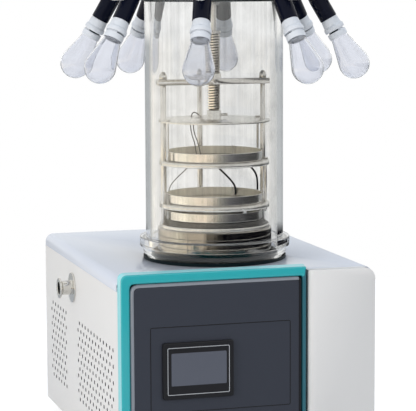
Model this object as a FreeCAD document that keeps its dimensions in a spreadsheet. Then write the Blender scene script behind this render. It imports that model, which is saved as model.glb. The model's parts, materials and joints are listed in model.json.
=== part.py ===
"""Bench-top freeze dryer with a screw-press tray rack and an eight-port flask manifold.

Millimetres, +Z up, X to the right along the front, front face towards -Y.
The origin lies on the floor, under the middle of the whole machine.
"""
import FreeCAD, Part
import math
import os
import re

import Sketcher
from FreeCAD import Placement, Rotation, Vector

DOC = FreeCAD.newDocument("FreezeDryer")

X_AXIS = Vector(1, 0, 0)
Y_AXIS = Vector(0, 1, 0)
Z_AXIS = Vector(0, 0, 1)

# Driving dimensions: alias, value in millimetres or degrees, meaning.
SIZES = (
    ("foot_height", 25.0, "rubber foot"),
    ("foot_radius", 19.0, "rubber foot at its top"),
    ("foot_taper", 3.0, "foot radius lost towards the floor"),
    ("foot_inset", 75.0, "foot centre from the cabinet's edges"),
    ("cabinet_width", 480.0, "over the side panels"),
    ("cabinet_depth", 642.0, "front frame to back panel"),
    ("cabinet_height", 347.0, "chassis underside to the top"),
    ("chamber_setback", 215.0, "chamber axis behind the front frame's face"),
    ("sheet", 1.5, "steel sheet of the cabinet"),
    ("sheet_gap", 0.5, "clearance between sheets that nest"),
    ("front_depth", 15.0, "depth of the front mouldings"),
    ("chassis_rim", 25.0, "upturned edge of the chassis tray"),
    ("lid_drop", 24.0, "side band of the top cover"),
    ("lid_overhang", 2.0, "top cover beyond the panels"),
    ("lid_round", 16.0, "outer edge radius of the top cover"),
    ("frame_inset", 3.0, "front frame inside the left panel's face"),
    ("frame_rise", 7.2, "front frame above the cabinet top"),
    ("frame_side", 16.5, "left band of the front frame"),
    ("frame_top", 17.0, "top band of the front frame"),
    ("frame_bottom", 16.0, "bottom band of the front frame"),
    ("frame_right", 8.0, "right band of the front frame"),
    ("frame_round", 13.0, "outer left corners of the front frame"),
    ("window_round", 9.0, "left corners of the frame's window"),
    ("pillar_width", 127.0, "white pillar right of the frame"),
    ("pillar_gap", 4.0, "shadow gap between frame and pillar"),
    ("pillar_proud", 6.0, "pillar in front of the frame"),
    ("pillar_round", 12.0, "left edge radius of the pillar"),
    ("pillar_shoulder", 20.0, "top right corner of the pillar"),
    ("pillar_wall", 2.0, "wall of the folded pillar"),
    ("fascia_gap", 0.5, "fascia to the frame's window"),
    ("fascia_thickness", 14.0, "moulded fascia"),
    ("fascia_proud", 2.0, "fascia face in front of the frame"),
    ("fascia_round", 7.0, "rolled edge of the fascia"),
    ("screen_width", 131.0, "screen housing"),
    ("screen_height", 102.5, "screen housing"),
    ("screen_depth", 12.0, "screen housing, front to back"),
    ("screen_proud", 7.0, "housing in front of the fascia"),
    ("screen_round", 4.0, "housing corners"),
    ("screen_offset", 142.5, "screen centre from the left side"),
    ("screen_drop", 168.7, "screen centre below the cabinet top"),
    ("glass_width", 115.5, "touch glass"),
    ("glass_height", 86.0, "touch glass"),
    ("glass_thickness", 2.0, "touch glass"),
    ("glass_gap", 0.2, "touch glass in its recess"),
    ("port_setback", 383.0, "vacuum port axis behind the front"),
    ("port_drop", 74.0, "vacuum port axis below the cabinet top"),
    ("port_plate_radius", 29.5, "wall plate of the vacuum port"),
    ("port_plate", 3.0, "wall plate thickness"),
    ("port_tube_radius", 14.0, "vacuum tube, outside"),
    ("port_bore", 12.5, "vacuum tube, inside"),
    ("port_reach", 28.0, "port flange face from the panel"),
    ("port_flange_radius", 20.0, "quick-release flange"),
    ("port_flange_rim", 3.0, "flange rim before its cone"),
    ("port_flange_cone", 3.0, "cone behind the flange"),
    ("port_stub", 14.0, "tube inside the panel"),
    ("vent_radius", 4.0, "round vent hole"),
    ("vent_pitch", 25.0, "holes along a row"),
    ("vent_row", 15.0, "row to row"),
    ("vent_rows", 11.0, "rows in a grid"),
    ("vent_drop", 135.4, "first row below the cabinet top"),
    ("front_vent_setback", 51.0, "front grid's first hole behind the front"),
    ("front_vent_columns", 12.0, "holes in a row of the front grid"),
    ("rear_vent_setback", 448.0, "rear grid's first hole behind the front"),
    ("rear_vent_columns", 6.0, "holes in a row of the rear grid"),
    ("inlet_from_side", 90.0, "power inlet's middle from the right panel"),
    ("inlet_rise", 60.0, "power inlet above the chassis"),
    ("inlet_width", 30.0, "inlet module"),
    ("inlet_height", 62.0, "inlet module with its switch"),
    ("inlet_depth", 26.0, "inlet module behind the panel"),
    ("inlet_lip", 3.0, "inlet flange around its cut-out, and its thickness"),
    ("socket_width", 24.0, "inlet socket"),
    ("socket_height", 17.0, "inlet socket"),
    ("socket_depth", 16.0, "inlet socket"),
    ("pin_width", 2.0, "inlet contact"),
    ("pin_height", 5.0, "inlet contact"),
    ("pin_pitch", 7.0, "inlet contacts, side by side"),
    ("rocker_width", 14.0, "power rocker"),
    ("rocker_height", 20.0, "power rocker"),
    ("rocker_proud", 4.0, "rocker beyond the inlet flange"),
    ("rocker_gap", 1.2, "clearance around the rocker"),
    ("trap_radius", 108.0, "cold trap vessel, outside"),
    ("trap_wall", 2.5, "cold trap wall"),
    ("trap_depth", 250.0, "cold trap below the seal"),
    ("collar_rise", 55.7, "trap collar above the seal"),
    ("collar_lip", 7.0, "inward lip of the collar"),
    ("collar_lip_height", 5.0, "inward lip of the collar"),
    ("trap_clearance", 0.2, "vessel in its foam jacket"),
    ("jacket_radius", 150.0, "foamed jacket with the evaporator coil"),
    ("cover_hole_gap", 1.0, "top cover's hole around the trap"),
    ("nozzle_angle", 120.0, "vacuum nozzle's direction from the trap"),
    ("nozzle_bend", 34.0, "bend of the vacuum nozzle"),
    ("fan_clearance", 24.5, "fan hub to the jacket"),
    ("condenser_length", 286.0, "condenser, along Y"),
    ("condenser_height", 215.0, "condenser with its side plates"),
    ("condenser_leg", 45.0, "side plates below the core"),
    ("condenser_plate", 2.0, "condenser side plate"),
    ("condenser_standoff", 6.0, "condenser from the left panel"),
    ("shroud_thickness", 12.0, "fan shroud"),
    ("fan_radius", 68.0, "fan rotor"),
    ("fan_tip_gap", 3.0, "blade tips to the shroud"),
    ("fan_hub_radius", 22.0, "fan hub"),
    ("fan_hub_length", 14.0, "fan hub"),
    ("fan_blades", 5.0, "number of blades"),
    ("blade_chord", 34.0, "blade width"),
    ("blade_thickness", 2.0, "blade"),
    ("blade_pitch", 28.0, "blade angle"),
    ("motor_radius", 18.0, "fan motor"),
    ("motor_length", 12.0, "fan motor beyond the shroud"),
    ("motor_shaft", 3.0, "fan motor shaft radius"),
    ("strut_width", 8.0, "struts that hold the fan motor"),
    ("running_gap", 0.3, "gap beside turning and sliding pieces"),
    ("shaft_gap", 0.05, "radial clearance of a running shaft"),
    ("compressor_radius", 74.0, "hermetic shell"),
    ("compressor_height", 175.0, "hermetic shell"),
    ("compressor_round", 30.0, "shell edges"),
    ("compressor_base", 10.0, "compressor's base bracket"),
    ("compressor_offset", 105.0, "compressor from the centre, to the left"),
    ("compressor_back", 110.0, "compressor axis from the back panel"),
    ("line_radius", 4.0, "copper refrigerant line"),
    ("line_bend", 22.0, "bends of the refrigerant lines"),
    ("control_width", 70.0, "control box"),
    ("control_depth", 80.0, "control box"),
    ("control_height", 180.0, "control box"),
    ("control_inset", 14.0, "control box from the right panel"),
    ("gasket_thickness", 3.6, "base gasket"),
    ("gasket_radius", 124.5, "base gasket, outside"),
    ("gasket_gap", 1.5, "base gasket around the trap"),
    ("tube_radius", 130.0, "acrylic chamber, outside"),
    ("tube_wall", 10.0, "acrylic wall"),
    ("tube_height", 480.0, "acrylic chamber"),
    ("ring_foot_radius", 136.0, "lower step of the glued ring"),
    ("ring_foot_height", 20.0, "lower step of the glued ring"),
    ("ring_radius", 142.0, "upper step of the glued ring"),
    ("ring_height", 18.0, "upper step of the glued ring"),
    ("top_gasket_thickness", 3.0, "gasket under the manifold"),
    ("top_gasket_lap", 1.5, "top gasket beyond the tube wall"),
    ("drum_radius", 134.0, "manifold drum, outside"),
    ("drum_wall", 5.0, "manifold drum"),
    ("drum_height", 58.0, "manifold drum"),
    ("drum_flange", 6.0, "manifold flange beyond the drum"),
    ("drum_flange_height", 8.0, "manifold flange"),
    ("drum_flange_inner", 118.0, "manifold flange, inside"),
    ("port_rise", 20.0, "port axis above the chamber"),
    ("gland_radius", 10.5, "gland tube below the drum top"),
    ("gland_hang", 10.0, "gland tube below the manifold flange"),
    ("gland_hub_radius", 14.0, "gland hub on the drum"),
    ("gland_hub_height", 25.0, "gland hub on the drum"),
    ("base_radius", 104.0, "rack base plate"),
    ("base_thickness", 7.3, "rack base plate"),
    ("land_radius", 93.0, "raised land of the base plate"),
    ("land_height", 7.8, "raised land of the base plate"),
    ("vapour_hole", 3.5, "vapour holes of the base plate"),
    ("vapour_holes", 24.0, "vapour holes around the plate"),
    ("post_distance", 98.0, "rack posts from the axis"),
    ("post_radius", 5.25, "rack post"),
    ("post_stud", 3.9, "threaded ends of a post"),
    ("stud_gap", 0.1, "studs in their holes"),
    ("post_length", 261.0, "base plate to top bar"),
    ("nut_radius", 7.0, "acorn nut"),
    ("nut_height", 15.0, "acorn nut"),
    ("bar_width", 25.0, "top bar"),
    ("bar_thickness", 10.5, "top bar"),
    ("bar_overhang", 11.0, "top bar beyond the posts"),
    ("bar_nut_radius", 14.0, "press nut on the bar"),
    ("bar_nut_height", 10.0, "press nut above the bar"),
    ("screw_radius", 11.0, "press screw"),
    ("screw_length", 143.0, "thread of the press screw"),
    ("screw_collar", 13.0, "collar radius above the thread"),
    ("screw_collar_height", 6.0, "collar above the thread"),
    ("spindle_radius", 5.0, "smooth spindle through the lid"),
    ("journal_radius", 7.5, "screw end in the press plate"),
    ("press_travel", 50.0, "how far the press plate goes down"),
    ("handle_gap", 2.0, "handle above the gland at full travel"),
    ("handle_hub_radius", 13.0, "press handle hub"),
    ("handle_hub_height", 24.0, "press handle hub"),
    ("handle_bar_radius", 5.5, "press handle bar"),
    ("handle_length", 130.0, "press handle bar"),
    ("handle_ball_radius", 10.0, "press handle ends"),
    ("shelf_radius", 104.0, "shelves"),
    ("shelf_thickness", 8.0, "shelves"),
    ("press_radius", 105.0, "press plate"),
    ("press_thickness", 3.5, "press plate"),
    ("boss_radius", 13.5, "boss on the press plate"),
    ("boss_height", 16.5, "boss on the press plate"),
    ("clamp_reach", 12.0, "clamp screw beyond the boss"),
    ("clamp_radius", 2.5, "clamp screw"),
    ("clamp_wing", 11.0, "wing of the clamp screw"),
    ("notch_gap", 0.5, "shelf notches around the posts"),
    ("stage_gap", 54.5, "tray 2's rim to shelf 1"),
    ("press_gap", 54.9, "tray 1's rim to the press plate"),
    ("stud_height", 5.7, "studs under shelf 2"),
    ("stud_radius", 4.0, "studs under shelf 2"),
    ("hanger_distance", 98.0, "hanger rods from the axis"),
    ("hanger_radius", 2.5, "hanger rod"),
    ("hanger_angle", 13.0, "hanger rods beside the side posts"),
    ("hanger_gap", 0.6, "hanger rods in sliding holes"),
    ("hanger_fit", 0.1, "hanger rods in fixed holes"),
    ("hanger_head", 4.6, "hanger rod head radius"),
    ("hanger_head_height", 3.2, "hanger rod head"),
    ("hanger_tip", 3.4, "rubber tip radius of a lower rod"),
    ("hanger_tip_height", 11.0, "rubber tip of a lower rod"),
    ("tray_radius", 91.0, "sample tray"),
    ("tray_height", 17.7, "sample tray"),
    ("tray_wall", 1.5, "sample tray"),
    ("clip_angle", 48.0, "sensor clip on a tray"),
    ("clip_width", 7.0, "sensor clip on a tray"),
    ("clip_thickness", 1.5, "sensor clip on a tray"),
    ("black_lead_radius", 1.9, "sensor lead with a black jacket"),
    ("grey_lead_radius", 1.0, "sensor lead with a grey jacket"),
    ("lead_hole", 5.0, "lead hole in the press plate"),
    ("port_count", 8.0, "ports around the manifold"),
    ("nipple_radius", 11.0, "manifold nipple, outside"),
    ("nipple_bore", 8.0, "manifold nipple, inside"),
    ("nipple_length", 42.0, "manifold nipple beyond the drum"),
    ("sleeve_gap", 10.0, "valve sleeve from the drum"),
    ("sleeve_radius", 17.0, "rubber valve sleeve"),
    ("sleeve_length", 63.0, "rubber valve sleeve"),
    ("sleeve_fit", 0.1, "valve sleeve on its nipple"),
    ("valve_passage", 7.0, "vapour passage in the valve"),
    ("elbow_reach", 50.6, "arm axis beyond the drum wall"),
    ("arm_tilt", 30.0, "valve arm from the vertical"),
    ("arm_radius", 16.5, "rubber valve arm"),
    ("arm_length", 62.0, "rubber valve arm"),
    ("stem_radius", 7.5, "valve stem"),
    ("stem_length", 12.0, "valve stem"),
    ("knob_radius", 17.0, "valve knob"),
    ("knob_length", 26.0, "valve knob"),
    ("knob_flutes", 8.0, "flutes around the knob"),
    ("flute_radius", 2.5, "flute of the knob"),
    ("cap_collar_radius", 16.5, "flask cap, upper part"),
    ("cap_collar_length", 26.0, "flask cap, upper part"),
    ("cap_neck_radius", 14.0, "flask cap, lower part"),
    ("cap_neck_length", 24.0, "flask cap, lower part"),
    ("cap_spigot_radius", 9.5, "flask cap in the valve arm"),
    ("cap_spigot_length", 20.0, "flask cap in the valve arm"),
    ("cap_fit", 0.1, "flask neck in its cap, and cap in the arm"),
    ("flask_neck_radius", 11.0, "flask neck, outside"),
    ("flask_neck_grip", 16.0, "flask neck inside the cap"),
    ("flask_neck_free", 6.0, "flask neck below the cap"),
    ("flask_bulb_radius", 29.0, "flask bulb, outside"),
    ("flask_bulb_drop", 45.0, "bulb centre below the cap"),
    ("flask_wall", 2.0, "flask glass"),
)

# Places that follow from the sizes: alias and formula.
PLACES = (
    ("bulb_along_arm", "arm_length + cap_collar_length + cap_neck_length + flask_bulb_drop"),
    ("elbow_radius", "drum_radius + elbow_reach"),
    ("bulb_circle", "elbow_radius + bulb_along_arm * sin(arm_tilt)"),
    ("front_reach", "bulb_circle * cos(180 / port_count) + flask_bulb_radius"),
    ("back_reach", "cabinet_depth - chamber_setback + inlet_lip + rocker_proud"),
    ("axis_y", "(front_reach - back_reach) / 2"),
    ("front_y", "axis_y - chamber_setback"),
    ("shell_y", "front_y + front_depth"),
    ("back_y", "front_y + cabinet_depth"),
    ("side_x", "cabinet_width / 2"),
    ("top_z", "foot_height + cabinet_height"),
    ("floor_z", "foot_height + sheet"),
    ("seal_z", "top_z + gasket_thickness"),
    ("panel_top", "top_z - lid_round"),
    ("relief_z", "top_z - lid_drop - sheet_gap"),
    ("frame_left", "frame_inset - side_x"),
    ("pillar_left", "side_x - pillar_width"),
    ("frame_right_x", "pillar_left - pillar_gap"),
    ("frame_z", "top_z + frame_rise"),
    ("window_left", "frame_left + frame_side"),
    ("window_right", "frame_right_x - frame_right"),
    ("window_top", "frame_z - frame_top"),
    ("window_bottom", "foot_height + frame_bottom"),
    ("fascia_y", "front_y - fascia_proud"),
    ("screen_x", "screen_offset - side_x"),
    ("screen_z", "top_z - screen_drop"),
    ("screen_y", "fascia_y - screen_proud"),
    ("port_y", "front_y + port_setback"),
    ("port_z", "top_z - port_drop"),
    ("stub_x", "port_stub - side_x"),
    ("inlet_z", "floor_z + inlet_rise"),
    ("inlet_offset", "side_x - inlet_from_side"),
    ("trap_bottom", "seal_z - trap_depth"),
    ("collar_top", "seal_z + collar_rise"),
    ("condenser_x", "sheet + condenser_standoff - side_x"),
    ("fan_face_x", "-jacket_radius - fan_clearance"),
    ("condenser_thickness", "fan_face_x - fan_hub_length - motor_length - condenser_x"),
    ("vent_middle_y", "front_y + front_vent_setback + (front_vent_columns - 1) * vent_pitch / 2"),
    ("vent_middle_z", "top_z - vent_drop - (vent_rows - 1) * vent_row / 2"),
    ("shroud_x", "condenser_x + condenser_thickness"),
    ("compressor_y", "back_y - compressor_back"),
    ("tube_inner", "tube_radius - tube_wall"),
    ("tube_top", "seal_z + tube_height"),
    ("manifold_z", "tube_top + top_gasket_thickness"),
    ("port_axis_z", "tube_top + port_rise"),
    ("drum_top", "manifold_z + drum_height"),
    ("gland_top", "drum_top + gland_hub_height"),
    ("base_top", "collar_top + base_thickness"),
    ("land_top", "base_top + land_height"),
    ("tray_three_rim", "land_top + tray_height"),
    ("shelf_two_z", "tray_three_rim + stud_height"),
    ("tray_two_z", "shelf_two_z + shelf_thickness"),
    ("tray_two_rim", "tray_two_z + tray_height"),
    ("shelf_one_z", "tray_two_rim + stage_gap"),
    ("tray_one_z", "shelf_one_z + shelf_thickness"),
    ("tray_one_rim", "tray_one_z + tray_height"),
    ("press_z", "tray_one_rim + press_gap"),
    ("press_top", "press_z + press_thickness"),
    ("bar_z", "base_top + post_length"),
    ("bar_top", "bar_z + bar_thickness"),
    ("screw_z", "press_top + boss_height"),
    ("handle_z", "gland_top + press_travel + handle_gap"),
    ("sleeve_start", "drum_radius + sleeve_gap"),
    ("sleeve_end", "sleeve_start + sleeve_length"),
    ("nipple_end", "drum_radius + nipple_length"),
    ("flask_mouth", "arm_length + cap_collar_length + cap_neck_length - flask_neck_grip"),
)

SIZE_NAMES = {row[0] for row in SIZES}
PLACE_NAMES = {row[0] for row in PLACES}


# ---------------------------------------------------------------- the sheets

def in_sheets(formula, inside_places=False):
    """Puts its sheet's name before each alias in a formula."""
    def with_sheet(match):
        word = match.group(0)
        if word in SIZE_NAMES:
            return "Sizes." + word
        if word in PLACE_NAMES and not inside_places:
            return "Places." + word
        return word
    return re.sub(r"[a-z][a-z_]*", with_sheet, formula)


def make_sheets():
    """The driving dimensions, and the places worked out from them."""
    sizes = DOC.addObject("Spreadsheet::Sheet", "Sizes")
    for row, (alias, value, meaning) in enumerate(SIZES, start=1):
        sizes.set(f"A{row}", meaning)
        sizes.set(f"B{row}", str(value))
        sizes.setAlias(f"B{row}", alias)
    places = DOC.addObject("Spreadsheet::Sheet", "Places")
    for row, (alias, formula) in enumerate(PLACES, start=1):
        places.set(f"B{row}", "=" + in_sheets(formula, inside_places=True))
        places.setAlias(f"B{row}", alias)
    DOC.recompute()
    return sizes, places


SIZE_SHEET, PLACE_SHEET = make_sheets()


def value(alias):
    """The number behind an alias."""
    sheet = SIZE_SHEET if alias in SIZE_NAMES else PLACE_SHEET
    return float(sheet.get(alias))


# ------------------------------------------------------- bound building blocks

SUBPARTS = []


def bind(item, formulas):
    """Ties properties of an object to the sheets."""
    for name, formula in formulas.items():
        item.setExpression(name, in_sheets(formula))
    return item


def place(item, x="0", y="0", z="0"):
    """Ties an object's position to the sheets."""
    return bind(item, {
        "Placement.Base.x": x,
        "Placement.Base.y": y,
        "Placement.Base.z": z,
    })


def subpart(item, label):
    """Names a finished sub-part; its label is its file's name."""
    item.Label = label
    SUBPARTS.append(item)
    return item


def box(size, corner):
    """A box from its low corner; both are triples of formulas."""
    item = DOC.addObject("Part::Box", "Block")
    bind(item, {"Length": size[0], "Width": size[1], "Height": size[2]})
    return place(item, *corner)


def cylinder(radius, height, base, along="z"):
    """A cylinder from the centre of its base, along x, y or z."""
    item = DOC.addObject("Part::Cylinder", "Round")
    if along == "x":
        item.Placement.Rotation = Rotation(Y_AXIS, 90)
    if along == "y":
        item.Placement.Rotation = Rotation(X_AXIS, -90)
    bind(item, {"Radius": radius, "Height": height})
    return place(item, *base)


def cone(radius_low, radius_high, height, base):
    """An upright cone frustum."""
    item = DOC.addObject("Part::Cone", "Taper")
    bind(item, {"Radius1": radius_low, "Radius2": radius_high, "Height": height})
    return place(item, *base)


def fuse(*items):
    """One solid from several that meet."""
    item = DOC.addObject("Part::MultiFuse", "Joined")
    item.Shapes = list(items)
    item.Refine = True
    return item


def group(*items):
    """Separate solids that share one node."""
    item = DOC.addObject("Part::Compound", "Set")
    item.Links = list(items)
    return item


def cut(base, *tools):
    """A base less its tools."""
    item = DOC.addObject("Part::Cut", "Trimmed")
    item.Base = base
    item.Tool = tools[0] if len(tools) == 1 else fuse(*tools)
    item.Refine = True
    return item


def rounded(base, rounds):
    """Rolls edges: each round is a size alias and a test on an edge's box."""
    DOC.recompute()
    item = DOC.addObject("Part::Fillet", "Rolled")
    item.Base = base
    edges = []
    for alias, wanted in rounds:
        radius = value(alias) if isinstance(alias, str) else alias
        for index, edge in enumerate(base.Shape.Edges, start=1):
            if wanted(edge.BoundBox):
                edges.append((index, radius, radius))
    item.Edges = edges
    return item


def solid(shape, name="Shaped"):
    """A shape made by a formula of its own."""
    item = DOC.addObject("Part::Feature", name)
    item.Shape = shape
    return item


def near(first, second):
    """Whether two coordinates are the same."""
    return abs(first - second) < 0.01


def turned(points, y="axis_y", x="0", z="0"):
    """A body of revolution about its own Z axis from (radius, height) formulas."""
    body = DOC.addObject("PartDesign::Body", "Turned")
    plane = [item for item in body.Origin.OriginFeatures if item.Role == "XZ_Plane"][0]
    sketch = body.newObject("Sketcher::SketchObject", "Profile")
    sketch.AttachmentSupport = [(plane, "")]
    sketch.MapMode = "FlatFace"
    rough = [(measure(radius), measure(height)) for radius, height in points]
    count = len(points)
    for index in range(count):
        start = Vector(*rough[index], 0)
        end = Vector(*rough[(index + 1) % count], 0)
        sketch.addGeometry(Part.LineSegment(start, end), False)
    for index in range(count):
        sketch.addConstraint(Sketcher.Constraint("Coincident", index, 2, (index + 1) % count, 1))
    for index, formulas in enumerate(points):
        for kind, formula, start in zip(("DistanceX", "DistanceY"), formulas, rough[index]):
            made = sketch.addConstraint(Sketcher.Constraint(kind, -1, 1, index, 1, start))
            name = f"{kind[-1].lower()}_{index}"
            sketch.renameConstraint(made, name)
            sketch.setExpression("Constraints." + name, in_sheets(formula))
    revolution = body.newObject("PartDesign::Revolution", "Spin")
    revolution.Profile = sketch
    revolution.ReferenceAxis = (sketch, ["V_Axis"])
    revolution.Angle = 360
    return place(body, x, y, z)


GAUGE = DOC.addObject("Part::Box", "Gauge")


def measure(formula):
    """The present value of a formula."""
    GAUGE.setExpression("Placement.Base.x", in_sheets(formula))
    GAUGE.recompute()
    return GAUGE.Placement.Base.x


def pipe(points, radius, bends):
    """A round bar along straight runs joined by tangent arcs, one radius a bend."""
    edges = []
    start = points[0]
    for index, bend in enumerate(bends, start=1):
        corner = points[index]
        inward = (corner - points[index - 1]).normalize()
        outward = (points[index + 1] - corner).normalize()
        turn = inward.getAngle(outward)
        trim = bend * math.tan(turn / 2)
        arc_start = corner - inward * trim
        arc_end = corner + outward * trim
        centre_way = (outward - inward).normalize()
        middle = corner + centre_way * (bend / math.cos(turn / 2) - bend)
        edges.append(Part.LineSegment(start, arc_start).toShape())
        edges.append(Part.Arc(arc_start, middle, arc_end).toShape())
        start = arc_end
    edges.append(Part.LineSegment(start, points[-1]).toShape())
    way = Part.Wire(edges)
    ring = Part.Circle(points[0], points[1] - points[0], radius).toShape()
    bar = way.makePipeShell([Part.Wire([ring])], True, False)
    due = math.pi * radius ** 2 * way.Length
    sizes = ", ".join(f"{bend:.1f}" for bend in bends)
    print(f"pipe: radius {radius:.1f}, bends {sizes}, volume {bar.Volume:.1f} of {due:.1f} mm3")
    return bar


def easy_bends(points):
    """The largest even bend at each inner point of a lead."""
    bends = []
    for index in range(1, len(points) - 1):
        before = points[index] - points[index - 1]
        after = points[index + 1] - points[index]
        turn = before.getAngle(after)
        bends.append(0.45 * min(before.Length, after.Length) / math.tan(turn / 2))
    return bends


def polar(radius, angle):
    """Formulas for X and Y of a place around the chamber axis."""
    return f"{radius} * cos({angle})", f"axis_y + {radius} * sin({angle})"


# ------------------------------------------------------------------ cabinet

def make_chassis():
    """The base tray with its upturned rim, and four tapered feet."""
    outer = box(
        ("cabinet_width - 2 * sheet - 2 * sheet_gap", "back_y - shell_y - sheet - sheet_gap", "chassis_rim"),
        ("sheet + sheet_gap - side_x", "shell_y", "foot_height"),
    )
    inner = box(
        (
            "cabinet_width - 4 * sheet - 2 * sheet_gap",
            "back_y - shell_y - 3 * sheet - sheet_gap",
            "chassis_rim",
        ),
        ("2 * sheet + sheet_gap - side_x", "shell_y + sheet", "floor_z"),
    )
    subpart(cut(outer, inner), "chassis_tray")
    feet = []
    for x in ("foot_inset - side_x", "side_x - foot_inset"):
        for y in ("front_y + foot_inset", "back_y - foot_inset"):
            feet.append(cone("foot_radius - foot_taper", "foot_radius", "foot_height", (x, y, "0")))
    subpart(group(*feet), "feet")


def vent_holes(x, setback, columns):
    """The staggered round holes of one vent grid, as drills along X."""
    drills = []
    reach = 4 * value("sheet")
    for row in range(int(value("vent_rows"))):
        shift = value("vent_pitch") / 2 if row % 2 else 0.0
        for column in range(int(value(columns))):
            y = value("front_y") + value(setback) + column * value("vent_pitch") + shift
            z = value("top_z") - value("vent_drop") - row * value("vent_row")
            drills.append(Part.makeCylinder(value("vent_radius"), reach, Vector(x - reach / 2, y, z), X_AXIS))
    return drills


def make_side_panel(label, low_x, grids, with_port):
    """A side panel with its vent grids; the left one also takes the vacuum port."""
    size = Vector(
        value("sheet"),
        value("back_y") - value("shell_y"),
        value("panel_top") - value("foot_height"),
    )
    corner = Vector(low_x, value("shell_y"), value("foot_height"))
    blank = Part.makeBox(size.x, size.y, size.z, corner)
    middle = low_x + value("sheet") / 2
    drills = []
    for setback, columns in grids:
        drills += vent_holes(middle, setback, columns)
    if with_port:
        centre = Vector(low_x - value("sheet"), value("port_y"), value("port_z"))
        reach = 3 * value("sheet")
        drills.append(Part.makeCylinder(value("port_tube_radius") + value("stud_gap"), reach, centre, X_AXIS))
    relief = Part.makeBox(
        3 * size.x, 2 * value("lid_round"), 2 * value("lid_drop"),
        Vector(low_x - size.x, value("back_y") - value("lid_round"), value("relief_z")),
    )
    subpart(solid(blank.cut(Part.makeCompound(drills + [relief]))), label)


def make_panels():
    """Left, right and back panels."""
    front_grid = ("front_vent_setback", "front_vent_columns")
    rear_grid = ("rear_vent_setback", "rear_vent_columns")
    side_x = value("side_x")
    make_side_panel("left_panel", -side_x, (front_grid, rear_grid), with_port=True)
    make_side_panel("right_panel", side_x - value("sheet"), (front_grid,), with_port=False)
    blank = box(
        ("cabinet_width - 2 * sheet", "sheet", "panel_top - foot_height"),
        ("sheet - side_x", "back_y - sheet", "foot_height"),
    )
    window = box(
        ("inlet_width", "3 * sheet", "inlet_height"),
        ("inlet_offset - inlet_width / 2", "back_y - 2 * sheet", "inlet_z"),
    )
    reliefs = []
    for x in ("-side_x", "side_x - lid_round"):
        reliefs.append(box(
            ("lid_round", "3 * sheet", "lid_drop"), (x, "back_y - 2 * sheet", "relief_z"),
        ))
    subpart(cut(blank, window, *reliefs), "back_panel")


def make_top_cover():
    """The pressed top cover: rolled side and back edges, open towards the front."""
    side = value("side_x") + value("lid_overhang")
    back = value("back_y") + value("lid_overhang")
    top = value("top_z")
    thin = value("sheet")

    def outer_edge(bounds):
        flat = near(bounds.XMin, bounds.XMax)
        along_side = flat and near(bounds.ZMin, top) and near(abs(bounds.XMin), side)
        along_back = near(bounds.ZMin, top) and near(bounds.YMin, back)
        corner = near(bounds.YMin, back) and near(abs(bounds.XMin), side) and near(bounds.XMin, bounds.XMax)
        return along_side or along_back or corner

    def inner_edge(bounds):
        flat = near(bounds.XMin, bounds.XMax)
        along_side = flat and near(bounds.ZMin, top - thin) and near(abs(bounds.XMin), side - thin)
        along_back = near(bounds.ZMin, top - thin) and near(bounds.YMin, back - thin)
        corner = (
            near(bounds.YMin, back - thin) and near(abs(bounds.XMin), side - thin)
            and near(bounds.XMin, bounds.XMax)
        )
        return along_side or along_back or corner

    outer = box(
        ("cabinet_width + 2 * lid_overhang", "back_y + lid_overhang - shell_y", "lid_drop"),
        ("-side_x - lid_overhang", "shell_y", "top_z - lid_drop"),
    )
    inner = box(
        (
            "cabinet_width + 2 * lid_overhang - 2 * sheet",
            "back_y + lid_overhang - shell_y",
            "lid_drop",
        ),
        ("sheet - side_x - lid_overhang", "shell_y - sheet", "top_z - lid_drop - sheet"),
    )
    shell = rounded(outer, [("lid_round", outer_edge)])
    space = rounded(inner, [(value("lid_round") - thin, inner_edge)])
    hole = cylinder("trap_radius + cover_hole_gap", "3 * sheet", ("0", "axis_y", "top_z - 2 * sheet"))
    subpart(cut(shell, space, hole), "top_cover")


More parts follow.
